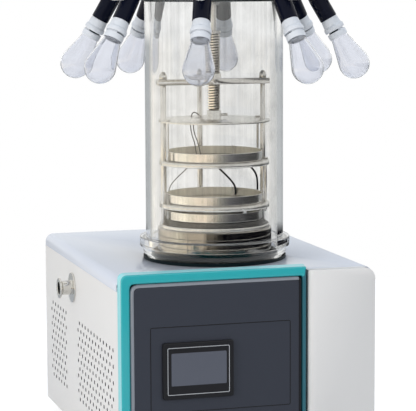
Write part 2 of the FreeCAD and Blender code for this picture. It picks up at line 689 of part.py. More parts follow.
def make_front():
    """Teal frame, dark fascia and white pillar."""
    left = value("frame_left")
    window_left = value("window_left")

    def upright_at(x):
        return lambda bounds: near(bounds.XMin, x) and near(bounds.XMax, x) and bounds.YLength > 1.0

    blank = box(
        ("frame_right_x - frame_left", "front_depth", "frame_z - foot_height"),
        ("frame_left", "front_y", "foot_height"),
    )
    window = box(
        ("window_right - window_left", "3 * front_depth", "window_top - window_bottom"),
        ("window_left", "front_y - front_depth", "window_bottom"),
    )
    frame = cut(
        rounded(blank, [("frame_round", upright_at(left))]),
        rounded(window, [("window_round", upright_at(window_left))]),
    )
    subpart(frame, "front_frame")

    face_y = value("fascia_y")
    right_x = value("window_right") - value("fascia_gap")
    corner_x = window_left + value("fascia_gap")

    def front_edge(bounds):
        on_face = near(bounds.YMin, face_y) and near(bounds.YMax, face_y)
        return on_face and not (near(bounds.XMin, right_x) and near(bounds.XMax, right_x))

    plate = box(
        (
            "window_right - window_left - 2 * fascia_gap",
            "fascia_thickness",
            "window_top - window_bottom - 2 * fascia_gap",
        ),
        ("window_left + fascia_gap", "fascia_y", "window_bottom + fascia_gap"),
    )
    plate = rounded(plate, [(value("window_round") - value("fascia_gap"), upright_at(corner_x))])
    plate = rounded(plate, [("fascia_round", front_edge)])
    pocket = box(
        ("screen_width - 2 * screen_round", "fascia_thickness", "screen_height - 2 * screen_round"),
        (
            "screen_x - screen_width / 2 + screen_round",
            "fascia_y - fascia_thickness + screen_depth - screen_proud",
            "screen_z - screen_height / 2 + screen_round",
        ),
    )
    subpart(cut(plate, pocket), "fascia_panel")

    pillar_left = value("pillar_left")
    pillar_y = value("front_y") - value("pillar_proud")
    right = value("side_x")
    top = value("top_z")
    wall = value("pillar_wall")

    def pillar_edges(x_low, x_high, y_face, z_top):
        left_front = lambda bounds: near(bounds.XMax, x_low) and near(bounds.YMax, y_face)
        shoulder = lambda bounds: near(bounds.XMin, x_high) and near(bounds.ZMin, z_top)
        return left_front, shoulder

    outer = box(
        ("pillar_width", "front_depth + pillar_proud", "cabinet_height"),
        ("pillar_left", "front_y - pillar_proud", "foot_height"),
    )
    left_front, shoulder = pillar_edges(pillar_left, right, pillar_y, top)
    outer = rounded(outer, [("pillar_round", left_front), ("pillar_shoulder", shoulder)])
    inner = box(
        (
            "pillar_width - 2 * pillar_wall",
            "front_depth + pillar_proud",
            "cabinet_height - 2 * pillar_wall",
        ),
        ("pillar_left + pillar_wall", "front_y - pillar_proud + pillar_wall", "foot_height + pillar_wall"),
    )
    left_front, shoulder = pillar_edges(pillar_left + wall, right - wall, pillar_y + wall, top - wall)
    inner = rounded(inner, [
        (value("pillar_round") - wall, left_front),
        (value("pillar_shoulder") - wall, shoulder),
    ])
    subpart(cut(outer, inner), "front_pillar")


def make_screen():
    """Screen housing with a recess, and the touch glass that lies in it."""
    half_width = value("screen_width") / 2
    centre = value("screen_x")

    def corner(bounds):
        at_side = near(abs(bounds.XMin - centre), half_width) and near(bounds.XMin, bounds.XMax)
        return at_side and bounds.YLength > 1.0 and bounds.ZLength < 1.0

    block = box(
        ("screen_width", "screen_proud", "screen_height"),
        ("screen_x - screen_width / 2", "screen_y", "screen_z - screen_height / 2"),
    )
    block = rounded(block, [("screen_round", corner)])
    plug = box(
        (
            "screen_width - 2 * screen_round - 2 * glass_gap",
            "screen_depth",
            "screen_height - 2 * screen_round - 2 * glass_gap",
        ),
        (
            "screen_x - screen_width / 2 + screen_round + glass_gap",
            "screen_y",
            "screen_z - screen_height / 2 + screen_round + glass_gap",
        ),
    )
    recess = box(
        ("glass_width + 2 * glass_gap", "2 * glass_thickness", "glass_height + 2 * glass_gap"),
        (
            "screen_x - glass_width / 2 - glass_gap",
            "screen_y - glass_thickness",
            "screen_z - glass_height / 2 - glass_gap",
        ),
    )
    subpart(cut(fuse(block, plug), recess), "screen_housing")
    glass = box(
        ("glass_width", "glass_thickness", "glass_height"),
        ("screen_x - glass_width / 2", "screen_y", "screen_z - glass_height / 2"),
    )
    subpart(glass, "screen_glass")


def make_vacuum_port():
    """Quick-release vacuum port along -X; its shut isolation valve is the plate at its inner end."""
    body = turned((
        ("0", "-port_stub"),
        ("port_tube_radius", "-port_stub"),
        ("port_tube_radius", "0"),
        ("port_plate_radius", "0"),
        ("port_plate_radius", "port_plate"),
        ("port_tube_radius", "port_plate"),
        ("port_tube_radius", "port_reach - port_flange_rim - port_flange_cone"),
        ("port_flange_radius", "port_reach - port_flange_rim"),
        ("port_flange_radius", "port_reach"),
        ("port_bore", "port_reach"),
        ("port_bore", "port_plate - port_stub"),
        ("0", "port_plate - port_stub"),
    ), x="-side_x", y="port_y", z="port_z")
    body.Placement.Rotation = Rotation(Y_AXIS, -90)
    subpart(body, "vacuum_port")


def make_power():
    """Power inlet module on the back panel with its rocker switch."""
    low_x = "inlet_offset - inlet_width / 2"
    module = box(
        ("inlet_width - 2 * glass_gap", "inlet_depth", "inlet_height - 2 * glass_gap"),
        (low_x + " + glass_gap", "back_y - inlet_depth", "inlet_z + glass_gap"),
    )
    flange = box(
        ("inlet_width + 2 * inlet_lip", "inlet_lip", "inlet_height + 2 * inlet_lip"),
        (low_x + " - inlet_lip", "back_y", "inlet_z - inlet_lip"),
    )
    socket = box(
        ("socket_width", "socket_depth + inlet_lip", "socket_height"),
        ("inlet_offset - socket_width / 2", "back_y - socket_depth", "inlet_z + 2 * inlet_lip"),
    )
    well = box(
        (
            "rocker_width + 2 * rocker_gap",
            "rocker_height / 2 + inlet_lip",
            "rocker_height + 2 * rocker_gap",
        ),
        (
            "inlet_offset - rocker_width / 2 - rocker_gap",
            "back_y - rocker_height / 2",
            "inlet_z + inlet_height - rocker_height - 2 * rocker_gap - 2 * inlet_lip",
        ),
    )
    pins = []
    for step in ("-1", "0", "1"):
        pins.append(box(
            ("pin_width", "socket_depth", "pin_height"),
            (
                f"inlet_offset - pin_width / 2 + {step} * pin_pitch",
                "back_y - socket_depth",
                "inlet_z + 2 * inlet_lip + (socket_height - pin_height) / 2",
            ),
        ))
    pivot = cylinder(
        "rocker_gap",
        "rocker_width + 4 * rocker_gap",
        (
            "inlet_offset - rocker_width / 2 - 2 * rocker_gap",
            "back_y",
            "inlet_z + inlet_height - rocker_height / 2 - rocker_gap - 2 * inlet_lip",
        ),
        along="x",
    )
    subpart(fuse(cut(fuse(module, flange), socket, well), pivot, *pins), "power_inlet")

    rocker = box(
        ("rocker_width", "rocker_height / 3 + inlet_lip + rocker_proud", "rocker_height"),
        (
            "inlet_offset - rocker_width / 2",
            "back_y - rocker_height / 3",
            "inlet_z + inlet_height - rocker_height - rocker_gap - 2 * inlet_lip",
        ),
    )
    pivot_hole = cylinder(
        "rocker_gap + shaft_gap",
        "rocker_width + 2 * rocker_gap",
        (
            "inlet_offset - rocker_width / 2 - rocker_gap",
            "back_y",
            "inlet_z + inlet_height - rocker_height / 2 - rocker_gap - 2 * inlet_lip",
        ),
        along="x",
    )
    low_side = value("back_y") - value("rocker_height") / 3
    lower_edges = lambda bounds: near(bounds.YMax, low_side) and bounds.XLength > 1.0
    rocker = rounded(rocker, [(value("rocker_height") / 4, lower_edges)])
    subpart(cut(rocker, pivot_hole), "power_switch")


# ------------------------------------------------------- inside the cabinet

def nozzle_points():
    """The vacuum nozzle's way from the trap wall to the port."""
    angle = math.radians(value("nozzle_angle"))
    way = Vector(math.cos(angle), math.sin(angle), 0)
    axis = Vector(0, value("axis_y"), value("port_z"))
    corner = axis + way * ((value("port_y") - value("axis_y")) / way.y)
    start = axis + way * (value("trap_radius") - value("trap_wall"))
    return [start, corner, Vector(value("stub_x"), value("port_y"), value("port_z"))]


def make_cold_trap():
    """Cold trap vessel with its collar and vacuum nozzle, and its foamed jacket."""
    vessel = turned((
        ("0", "0"),
        ("trap_radius", "0"),
        ("trap_radius", "trap_depth + collar_rise"),
        ("trap_radius - collar_lip", "trap_depth + collar_rise"),
        ("trap_radius - collar_lip", "trap_depth + collar_rise - collar_lip_height"),
        ("trap_radius - trap_wall", "trap_depth + collar_rise - collar_lip_height"),
        ("trap_radius - trap_wall", "trap_wall"),
        ("0", "trap_wall"),
    ), z="trap_bottom")
    points = nozzle_points()
    bends = [value("nozzle_bend")]
    inside = points[0] - (points[1] - points[0]).normalize() * value("trap_wall") * 2
    nozzle = solid(pipe(points, value("port_tube_radius"), bends))
    bore = solid(pipe([inside] + points[1:], value("port_bore"), bends))
    subpart(cut(fuse(vessel, nozzle), bore), "cold_trap")

    block = cylinder("jacket_radius", "top_z - sheet - floor_z", ("0", "axis_y", "floor_z"))
    space = cylinder(
        "trap_radius + trap_clearance",
        "trap_depth + collar_rise",
        ("0", "axis_y", "trap_bottom"),
    )
    passage = solid(pipe(points, value("port_tube_radius") + value("trap_clearance"), bends))
    subpart(cut(block, space, passage), "trap_jacket")


def make_condenser():
    """Condenser behind the front vent grid, its fan shroud with motor, and the rotor."""
    low_y = "vent_middle_y - condenser_length / 2"
    core = box(
        (
            "condenser_thickness",
            "condenser_length - 2 * condenser_plate",
            "condenser_height - condenser_leg",
        ),
        ("condenser_x", low_y + " + condenser_plate", "floor_z + condenser_leg"),
    )
    plates = []
    for y in (low_y, "vent_middle_y + condenser_length / 2 - condenser_plate"):
        plates.append(box(
            ("condenser_thickness", "condenser_plate", "condenser_height"),
            ("condenser_x", y, "floor_z"),
        ))
    subpart(fuse(core, *plates), "condenser")

    half_side = "(fan_radius + fan_tip_gap + strut_width)"
    frame = box(
        ("shroud_thickness", f"2 * {half_side}", f"2 * {half_side}"),
        ("shroud_x", f"vent_middle_y - {half_side}", f"vent_middle_z - {half_side}"),
    )
    mouth = cylinder(
        "fan_radius + fan_tip_gap",
        "3 * shroud_thickness",
        ("shroud_x - shroud_thickness", "vent_middle_y", "vent_middle_z"),
        along="x",
    )
    struts = [
        box(
            ("condenser_plate", f"2 * {half_side}", "strut_width"),
            ("shroud_x", f"vent_middle_y - {half_side}", "vent_middle_z - strut_width / 2"),
        ),
        box(
            ("condenser_plate", "strut_width", f"2 * {half_side}"),
            ("shroud_x", "vent_middle_y - strut_width / 2", f"vent_middle_z - {half_side}"),
        ),
    ]
    motor = cylinder(
        "motor_radius", "motor_length", ("shroud_x", "vent_middle_y", "vent_middle_z"), along="x",
    )
    shaft = cylinder(
        "motor_shaft",
        "motor_length + running_gap + fan_hub_length",
        ("shroud_x", "vent_middle_y", "vent_middle_z"),
        along="x",
    )
    subpart(fuse(cut(frame, mouth), motor, shaft, *struts), "fan_shroud")

    hub_x = "shroud_x + motor_length + running_gap"
    hub = cylinder("fan_hub_radius", "fan_hub_length", (hub_x, "vent_middle_y", "vent_middle_z"), along="x")
    hub_middle = measure(hub_x + " + fan_hub_length / 2")
    centre = Vector(hub_middle, value("vent_middle_y"), value("vent_middle_z"))
    blades = []
    chord = value("blade_chord")
    thickness = value("blade_thickness")
    root = value("fan_hub_radius") * 0.9
    for index in range(int(value("fan_blades"))):
        blade = Part.makeBox(
            thickness, chord, value("fan_radius") - root, Vector(-thickness / 2, -chord / 2, root),
        )
        blade.rotate(Vector(0, 0, 0), Z_AXIS, 90 - value("blade_pitch"))
        blade = blade.common(Part.makeCylinder(value("fan_radius"), 2 * chord, Vector(-chord, 0, 0), X_AXIS))
        blade.rotate(Vector(0, 0, 0), X_AXIS, index * 360.0 / int(value("fan_blades")))
        blade.translate(centre)
        blades.append(solid(blade))
    bore = cylinder(
        "motor_shaft + shaft_gap",
        "3 * fan_hub_length",
        (hub_x + " - fan_hub_length", "vent_middle_y", "vent_middle_z"),
        along="x",
    )
    subpart(cut(fuse(hub, *blades), bore), "fan_rotor")


def make_compressor():
    """Hermetic compressor on its bracket, with its two copper lines."""
    x = "-compressor_offset"
    shell = cylinder(
        "compressor_radius", "compressor_height", (x, "compressor_y", "floor_z + compressor_base"),
    )
    low = measure("floor_z + compressor_base")
    high = low + value("compressor_height")

    def ends(bounds):
        flat = near(bounds.ZMin, bounds.ZMax)
        return flat and (near(bounds.ZMin, low) or near(bounds.ZMin, high))

    shell = rounded(shell, [("compressor_round", ends)])
    bracket = box(
        ("2 * compressor_radius", "1.6 * compressor_radius", "compressor_base + compressor_round"),
        (
            "-compressor_offset - compressor_radius",
            "compressor_y - 0.8 * compressor_radius",
            "floor_z",
        ),
    )
    relief = box(
        ("1.5 * compressor_radius", "2 * compressor_radius", "compressor_base"),
        (
            "-compressor_offset - 0.75 * compressor_radius",
            "compressor_y - compressor_radius",
            "floor_z - sheet",
        ),
    )
    trim = box(
        ("4 * compressor_radius", "2 * compressor_radius", "compressor_round"),
        (
            "-compressor_offset - 2 * compressor_radius",
            "compressor_y - compressor_radius",
            "floor_z + compressor_base + compressor_round / 3",
        ),
    )
    subpart(fuse(shell, cut(bracket, relief, trim)), "compressor")

    radius = value("line_radius")
    bend = value("line_bend")
    top = high - value("compressor_round")
    left = measure("condenser_x + condenser_thickness / 2")
    line_y = measure("vent_middle_y + condenser_length / 2 + line_radius")
    side = measure("-compressor_offset - compressor_radius")
    discharge = [
        Vector(side, value("compressor_y"), top),
        Vector(left, value("compressor_y"), top),
        Vector(left, line_y - radius, top),
    ]
    front = measure("compressor_y - compressor_radius")
    jacket_x = measure("-compressor_offset + compressor_radius / 2")
    jacket_y = measure("axis_y") + math.sqrt(value("jacket_radius") ** 2 - jacket_x ** 2)
    ring_y = value("compressor_y") - math.sqrt(
        value("compressor_radius") ** 2 - (jacket_x + value("compressor_offset")) ** 2
    )
    suction_z = low + value("compressor_height") / 2
    suction = Part.makeCylinder(
        radius, ring_y - jacket_y, Vector(jacket_x, jacket_y, suction_z), Y_AXIS,
    )
    jacket = Part.makeCylinder(
        value("jacket_radius"), 4 * radius, Vector(0, value("axis_y"), suction_z - 2 * radius),
    )
    pot = Part.makeCylinder(
        value("compressor_radius"), 4 * radius,
        Vector(-value("compressor_offset"), value("compressor_y"), suction_z - 2 * radius),
    )
    long_suction = Part.makeCylinder(
        radius, front - jacket_y + 4 * radius + value("compressor_radius"),
        Vector(jacket_x, jacket_y - 2 * radius, suction_z), Y_AXIS,
    )
    suction = long_suction.cut(jacket).cut(pot)
    suction = [piece for piece in suction.Solids if piece.BoundBox.YMin < ring_y][0]
    lines = group(solid(pipe(discharge, radius, [bend])), solid(suction))
    subpart(lines, "refrigerant_lines")


def make_control_box():
    """The closed control box behind the pillar, standing on the chassis."""
    subpart(box(
        ("control_width", "control_depth", "control_height"),
        (
            "side_x - sheet - control_inset - control_width",
            "shell_y + control_inset",
            "floor_z",
        ),
    ), "control_box")


# ------------------------------------------------------------------ chamber

def make_chamber():
    """Base gasket, acrylic tube with its glued ring, and the top gasket."""
    subpart(cut(
        cylinder("gasket_radius", "gasket_thickness", ("0", "axis_y", "top_z")),
        cylinder("trap_radius + gasket_gap", "gasket_thickness", ("0", "axis_y", "top_z")),
    ), "base_gasket")
    subpart(turned((
        ("tube_inner", "0"),
        ("ring_foot_radius", "0"),
        ("ring_foot_radius", "ring_foot_height"),
        ("ring_radius", "ring_foot_height"),
        ("ring_radius", "ring_foot_height + ring_height"),
        ("tube_radius", "ring_foot_height + ring_height"),
        ("tube_radius", "tube_height"),
        ("tube_inner", "tube_height"),
    ), z="seal_z"), "chamber_tube")
    subpart(cut(
        cylinder("tube_radius + top_gasket_lap", "top_gasket_thickness", ("0", "axis_y", "tube_top")),
        cylinder("tube_inner - top_gasket_lap", "top_gasket_thickness", ("0", "axis_y", "tube_top")),
    ), "top_gasket")


def port_angles():
    """Azimuths of the ports, none of them straight ahead."""
    count = int(value("port_count"))
    return [(index + 0.5) * 360.0 / count for index in range(count)]


def port_frame(angle):
    """Frame of one port: X points outward along the port, origin on the chamber axis."""
    return Placement(Vector(0, value("axis_y"), value("port_axis_z")), Rotation(Z_AXIS, angle))


def arm_frame(angle):
    """Frame of one valve arm: Z points down along the arm, origin at the elbow."""
    tilt = Placement(Vector(value("elbow_radius"), 0, 0), Rotation(Y_AXIS, 180 - value("arm_tilt")))
    return port_frame(angle) * tilt


def make_manifold():
    """Manifold head: flange, drum, gland tube and welded nipples."""
    drum = turned((
        ("drum_flange_inner", "0"),
        ("drum_radius + drum_flange", "0"),
        ("drum_radius + drum_flange", "drum_flange_height"),
        ("drum_radius", "drum_flange_height"),
        ("drum_radius", "drum_height"),
        ("gland_hub_radius", "drum_height"),
        ("gland_hub_radius", "drum_height + gland_hub_height"),
        ("spindle_radius + shaft_gap", "drum_height + gland_hub_height"),
        ("spindle_radius + shaft_gap", "-gland_hang"),
        ("gland_radius", "-gland_hang"),
        ("gland_radius", "drum_height - drum_wall"),
        ("drum_radius - drum_wall", "drum_height - drum_wall"),
        ("drum_radius - drum_wall", "drum_flange_height"),
        ("drum_flange_inner", "drum_flange_height"),
    ), z="manifold_z")
    inside = value("drum_radius") - value("drum_wall") / 2
    nipples = []
    bores = []
    for angle in port_angles():
        nipple = Part.makeCylinder(
            value("nipple_radius"), value("nipple_end") - inside, Vector(inside, 0, 0), X_AXIS,
        )
        bore = Part.makeCylinder(
            value("nipple_bore"), 2 * value("nipple_length"),
            Vector(value("drum_radius") - 2 * value("drum_wall"), 0, 0), X_AXIS,
        )
        nipples.append(solid(nipple))
        nipples[-1].Placement = port_frame(angle)
        bores.append(solid(bore))
        bores[-1].Placement = port_frame(angle)
    subpart(cut(fuse(drum, *nipples), *bores), "manifold_head")


# ---------------------------------------------------------------------- rack

def notches(z, thickness):
    """Cutters for the open notches where a plate slides on the posts."""
    cutters = []
    for angle in (0, 90, 180):
        x, y = polar("post_distance", angle)
        drill = cylinder("post_radius + notch_gap", f"3 * {thickness}", (x, y, f"{z} - {thickness}"))
        width = value("post_radius") + value("notch_gap")
        slot = Part.makeBox(
            value("post_distance"), 2 * width, 3 * value(thickness),
            Vector(value("post_distance"), -width, value(z) - value(thickness)),
        )
        slot.rotate(Vector(0, 0, 0), Z_AXIS, angle)
        slot.translate(Vector(0, value("axis_y"), 0))
        cutters += [drill, solid(slot)]
    return cutters


def rod_holes(angles, radius, z, thickness):
    """Drills for hanger rods through one plate."""
    drills = []
    for angle in angles:
        x, y = polar("hanger_distance", angle)
        drills.append(cylinder(radius, f"3 * {thickness}", (x, y, f"{z} - {thickness}")))
    return drills


UPPER_RODS = ("hanger_angle", "hanger_angle + 180")
LOWER_RODS = ("-hanger_angle", "180 - hanger_angle")


def make_rack_frame():
    """Base plate, posts, acorn nuts and the top bar with its press nut."""
    plate = cylinder("base_radius", "base_thickness", ("0", "axis_y", "collar_top"))
    land = cylinder("land_radius", "base_thickness + land_height", ("0", "axis_y", "collar_top"))
    holes = []
    spacing = 360.0 / value("vapour_holes")
    for index in range(int(value("vapour_holes"))):
        angle = (index + 0.5) * spacing
        if all(abs((angle - post + 180) % 360 - 180) > spacing * 0.6 for post in (0, 90, 180)):
            x, y = polar("(land_radius + base_radius) / 2", f"{angle}")
            holes.append(cylinder("vapour_hole", "3 * base_thickness", (x, y, "collar_top - base_thickness")))
    for angle in (0, 90, 180):
        x, y = polar("post_distance", angle)
        holes.append(cylinder("post_stud + stud_gap", "base_thickness", (x, y, "collar_top")))
        holes.append(cylinder("post_radius + stud_gap", "base_thickness + land_height", (x, y, "base_top")))
    subpart(cut(fuse(plate, land), *holes), "rack_base")

    posts = []
    nuts = []
    for angle in (0, 90, 180):
        x, y = polar("post_distance", angle)
        posts.append(turned((
            ("0", "-base_thickness"),
            ("post_stud", "-base_thickness"),
            ("post_stud", "0"),
            ("post_radius", "0"),
            ("post_radius", "post_length"),
            ("post_stud", "post_length"),
            ("post_stud", "post_length + bar_thickness + nut_height / 2"),
            ("0", "post_length + bar_thickness + nut_height / 2"),
        ), x=x, y=y, z="base_top"))
        nuts.append(turned((
            ("post_stud + stud_gap", "0"),
            ("nut_radius", "0"),
            ("nut_radius", "nut_height / 2"),
            ("nut_radius * 0.8", "nut_height * 0.7"),
            ("nut_radius * 0.45", "nut_height * 0.94"),
            ("0", "nut_height"),
            ("0", "nut_height / 2 + stud_gap"),
            ("post_stud + stud_gap", "nut_height / 2 + stud_gap"),
        ), x=x, y=y, z="bar_top"))
    subpart(group(*posts), "rack_posts")
    subpart(group(*nuts), "acorn_nuts")

    reach = "(post_distance + bar_overhang)"
    beam = box(
        (f"2 * {reach}", "bar_width", "bar_thickness"),
        (f"-{reach}", "axis_y - bar_width / 2", "bar_z"),
    )
    arm = box(("bar_width", reach, "bar_thickness"), ("-bar_width / 2", "axis_y", "bar_z"))
    nut = cylinder("bar_nut_radius", "bar_thickness + bar_nut_height", ("0", "axis_y", "bar_z"))
    drills = [cylinder(
        "screw_radius + shaft_gap",
        "3 * bar_thickness + bar_nut_height",
        ("0", "axis_y", "bar_z - bar_thickness"),
    )]
    for angle in (0, 90, 180):
        x, y = polar("post_distance", angle)
        drills.append(cylinder("post_stud + stud_gap", "3 * bar_thickness", (x, y, "bar_z - bar_thickness")))
    subpart(cut(fuse(beam, arm, nut), *drills), "top_bar")


def make_press():
    """Press screw with its spindle, the handle, and the press plate with its boss."""
    subpart(turned((
        ("0", "-boss_height + running_gap"),
        ("journal_radius", "-boss_height + running_gap"),
        ("journal_radius", "running_gap"),
        ("screw_radius", "running_gap"),
        ("screw_radius", "screw_length"),
        ("screw_collar", "screw_length"),
        ("screw_collar", "screw_length + screw_collar_height"),
        ("spindle_radius", "screw_length + screw_collar_height"),
        ("spindle_radius", "handle_z + handle_hub_height - screw_z"),
        ("0", "handle_z + handle_hub_height - screw_z"),
    ), z="screw_z"), "press_screw")

    hub = cylinder("handle_hub_radius", "handle_hub_height", ("0", "axis_y", "handle_z"))
    lever = cylinder(
        "handle_bar_radius",
        "handle_length",
        ("-handle_length / 2", "axis_y", "handle_z + handle_hub_height / 2"),
        along="x",
    )
    balls = []
    for side in (-1, 1):
        ball = DOC.addObject("Part::Sphere", "Ball")
        bind(ball, {"Radius": "handle_ball_radius"})
        balls.append(place(ball, f"{side} * handle_length / 2", "axis_y", "handle_z + handle_hub_height / 2"))
    bore = cylinder(
        "spindle_radius", "2 * handle_hub_height", ("0", "axis_y", "handle_z - handle_hub_height / 2"),
    )
    subpart(cut(fuse(hub, lever, *balls), bore), "press_handle")

    disc = cylinder("press_radius", "press_thickness", ("0", "axis_y", "press_z"))
    boss = cylinder("boss_radius", "press_thickness + boss_height", ("0", "axis_y", "press_z"))
    clamp_z = "press_top + boss_height / 2"
    clamp = cylinder(
        "clamp_radius", "boss_radius + clamp_reach", ("0", "axis_y", clamp_z), along="x",
    )
    wing = box(
        ("clamp_radius", "clamp_wing", "2 * clamp_radius"),
        ("boss_radius + clamp_reach - clamp_radius", "axis_y - clamp_wing / 2", clamp_z + " - clamp_radius"),
    )
    bore = cylinder("journal_radius + shaft_gap", "2 * boss_height", ("0", "axis_y", "press_top"))
    holes = rod_holes(UPPER_RODS, "hanger_radius + hanger_fit", "press_z", "press_thickness")
    lead = lead_hole_place()
    holes.append(cylinder(
        "lead_hole", "3 * press_thickness", (f"{lead.x}", f"{lead.y}", "press_z - press_thickness"),
    ))
    subpart(
        cut(fuse(disc, boss, clamp, wing), bore, *holes, *notches("press_z", "press_thickness")),
        "press_plate",
    )


def make_shelves():
    """Two hanging shelves and the rods that they hang by."""
    upper = cylinder("shelf_radius", "shelf_thickness", ("0", "axis_y", "shelf_one_z"))
    slides = rod_holes(LOWER_RODS, "hanger_radius + hanger_gap", "shelf_one_z", "shelf_thickness")
    subpart(cut(upper, *slides, *notches("shelf_one_z", "shelf_thickness")), "shelf_1")

    lower = cylinder("shelf_radius", "shelf_thickness", ("0", "axis_y", "shelf_two_z"))
    studs = []
    for angle in (50, 170, 290):
        x, y = polar("tray_radius", angle)
        studs.append(cylinder("stud_radius", "stud_height + shelf_thickness / 2", (x, y, "tray_three_rim")))
    fixed = rod_holes(LOWER_RODS, "hanger_radius + hanger_fit", "shelf_two_z", "shelf_thickness")
    subpart(cut(fuse(lower, *studs), *fixed, *notches("shelf_two_z", "shelf_thickness")), "shelf_2")

    rods = []
    for angle in UPPER_RODS:
        x, y = polar("hanger_distance", angle)
        rods.append(turned((
            ("0", "tray_one_z - press_top"),
            ("hanger_radius", "tray_one_z - press_top"),
            ("hanger_radius", "0"),
            ("hanger_head", "0"),
            ("hanger_head", "hanger_head_height"),
            ("0", "hanger_head_height"),
        ), x=x, y=y, z="press_top"))
    subpart(group(*rods), "hanger_rods_upper")

    rods = []
    for angle in LOWER_RODS:
        x, y = polar("hanger_distance", angle)
        rods.append(turned((
            ("0", "shelf_two_z - hanger_tip_height - tray_one_z - running_gap"),
            ("hanger_tip", "shelf_two_z - hanger_tip_height - tray_one_z - running_gap"),
            ("hanger_tip", "shelf_two_z - tray_one_z - running_gap"),
            ("hanger_radius", "shelf_two_z - tray_one_z - running_gap"),
            ("hanger_radius", "0"),
            ("hanger_head", "0"),
            ("hanger_head", "hanger_head_height"),
            ("0", "hanger_head_height"),
        ), x=x, y=y, z="tray_one_z + running_gap"))
    subpart(group(*rods), "hanger_rods_lower")


def make_trays():
    """Three sample trays; the upper two carry a sensor clip on the back wall."""
    for label, z in (("tray_1", "tray_one_z"), ("tray_2", "tray_two_z"), ("tray_3", "land_top")):
        tray = turned((
            ("0", "0"),
            ("tray_radius", "0"),
            ("tray_radius", "tray_height"),
            ("tray_radius - tray_wall", "tray_height"),
            ("tray_radius - tray_wall", "tray_wall"),
            ("0", "tray_wall"),
        ), z=z)
        if label != "tray_3":
            inner = value("tray_radius") - value("tray_wall")
            clip = Part.makeBox(
                2 * value("clip_thickness"), value("clip_width"), value("tray_height") - value("tray_wall"),
                Vector(inner - value("clip_thickness"), -value("clip_width") / 2, value("tray_wall")),
            )
            wall_middle = value("tray_radius") - value("tray_wall") / 2
            clip = clip.common(Part.makeCylinder(wall_middle, value("tray_height")))
            clip.rotate(Vector(0, 0, 0), Z_AXIS, value("clip_angle"))
            clip.translate(Vector(0, value("axis_y"), value(z)))
            tray = fuse(tray, solid(clip))
        subpart(tray, label)


def lead_hole_place():
    """Where the grey leads pass the press plate."""
    return Vector(-22.0, value("axis_y") + 78.0, value("press_z"))


def make_leads():
    """Sensor leads: two grey ones at tray 1, two black and one grey between shelf 1 and tray 2."""
    axis_y = value("axis_y")
    grey = value("grey_lead_radius")
    black = value("black_lead_radius")

    def lead(points, radius):
        return solid(pipe(points, radius, easy_bends(points)))

    def hung(points, radius):
        """A lead whose slanting first end stays just clear of the shelf above it."""
        slant = (points[1] - points[0]).getAngle(Vector(0, 0, -1))
        points[0].z -= radius * math.sin(slant) + value("running_gap")
        return lead(points, radius)

    hole = lead_hole_place()
    top = value("press_top")
    rim = value("tray_one_rim")
    gap = value("press_gap")
    inner_wall = value("tray_radius") - value("tray_wall")
    upper_long = [
        Vector(hole.x + 14, hole.y - 4, top + 2 * grey),
        Vector(hole.x + 7, hole.y - 3, top + 9 * grey),
        Vector(hole.x - 1, hole.y - 1, top + 6 * grey),
        Vector(hole.x - 3, hole.y, rim + 0.72 * gap),
        Vector(hole.x + 0, hole.y + 1, rim + 0.42 * gap),
        Vector(hole.x + 7, hole.y + 2, rim + 0.1 * gap),
        Vector(hole.x + 10, hole.y + 3, rim - value("tray_height") + value("tray_wall") + grey),
    ]
    upper_short = [
        Vector(hole.x + 3, hole.y + 1, top),
        Vector(hole.x + 3, hole.y + 1, rim + 0.7 * gap),
        Vector(hole.x + 6, hole.y + 0, rim + 0.4 * gap),
        Vector(hole.x + 14, hole.y + 1, rim + 0.1 * gap),
        Vector(hole.x + 18, hole.y + 2, rim - value("tray_height") + value("tray_wall") + grey),
    ]
    subpart(group(lead(upper_long, grey), lead(upper_short, grey)), "sensor_leads_upper")

    low = value("tray_two_z")
    rim = value("tray_two_rim")
    high = value("shelf_one_z")
    clip = math.radians(value("clip_angle"))
    clip_r = inner_wall - value("clip_thickness") - black - value("running_gap")
    straight = [
        Vector(-4.0, axis_y + 14.0, high),
        Vector(4.0, axis_y + 18.0, high - 9.0),
        Vector(40.0, axis_y + 42.0, rim + 14.0),
        Vector(clip_r * math.cos(clip), axis_y + clip_r * math.sin(clip), rim - 4.0),
        Vector(clip_r * math.cos(clip), axis_y + clip_r * math.sin(clip), low + 4.0),
    ]
    side = math.radians(value("hanger_angle"))
    side_r = value("tray_radius") + 2 * black + 1.0
    curved = [
        Vector(66.0, axis_y + 24.0, high),
        Vector(75.0, axis_y + 22.0, high - 13.0),
        Vector(90.0, axis_y + 22.0, high - 26.0),
        Vector(side_r * math.cos(side), axis_y + side_r * math.sin(side), rim + 6.0),
        Vector(side_r * math.cos(side), axis_y + side_r * math.sin(side), low),
    ]
    far = math.radians(144.0)
    far_r = value("tray_radius") + 4 * grey
    thin = [
        Vector(-36.0, axis_y + 30.0, high),
        Vector(-44.0, axis_y + 36.0, high - 12.0),
        Vector(-62.0, axis_y + 46.0, high - 30.0),
        Vector(far_r * math.cos(far), axis_y + far_r * math.sin(far), rim + 4.0),
        Vector(far_r * math.cos(far), axis_y + far_r * math.sin(far), low),
    ]
    subpart(group(hung(straight, black), hung(curved, black), hung(thin, grey)), "sensor_leads_lower")


# --------------------------------------------------------------------- ports

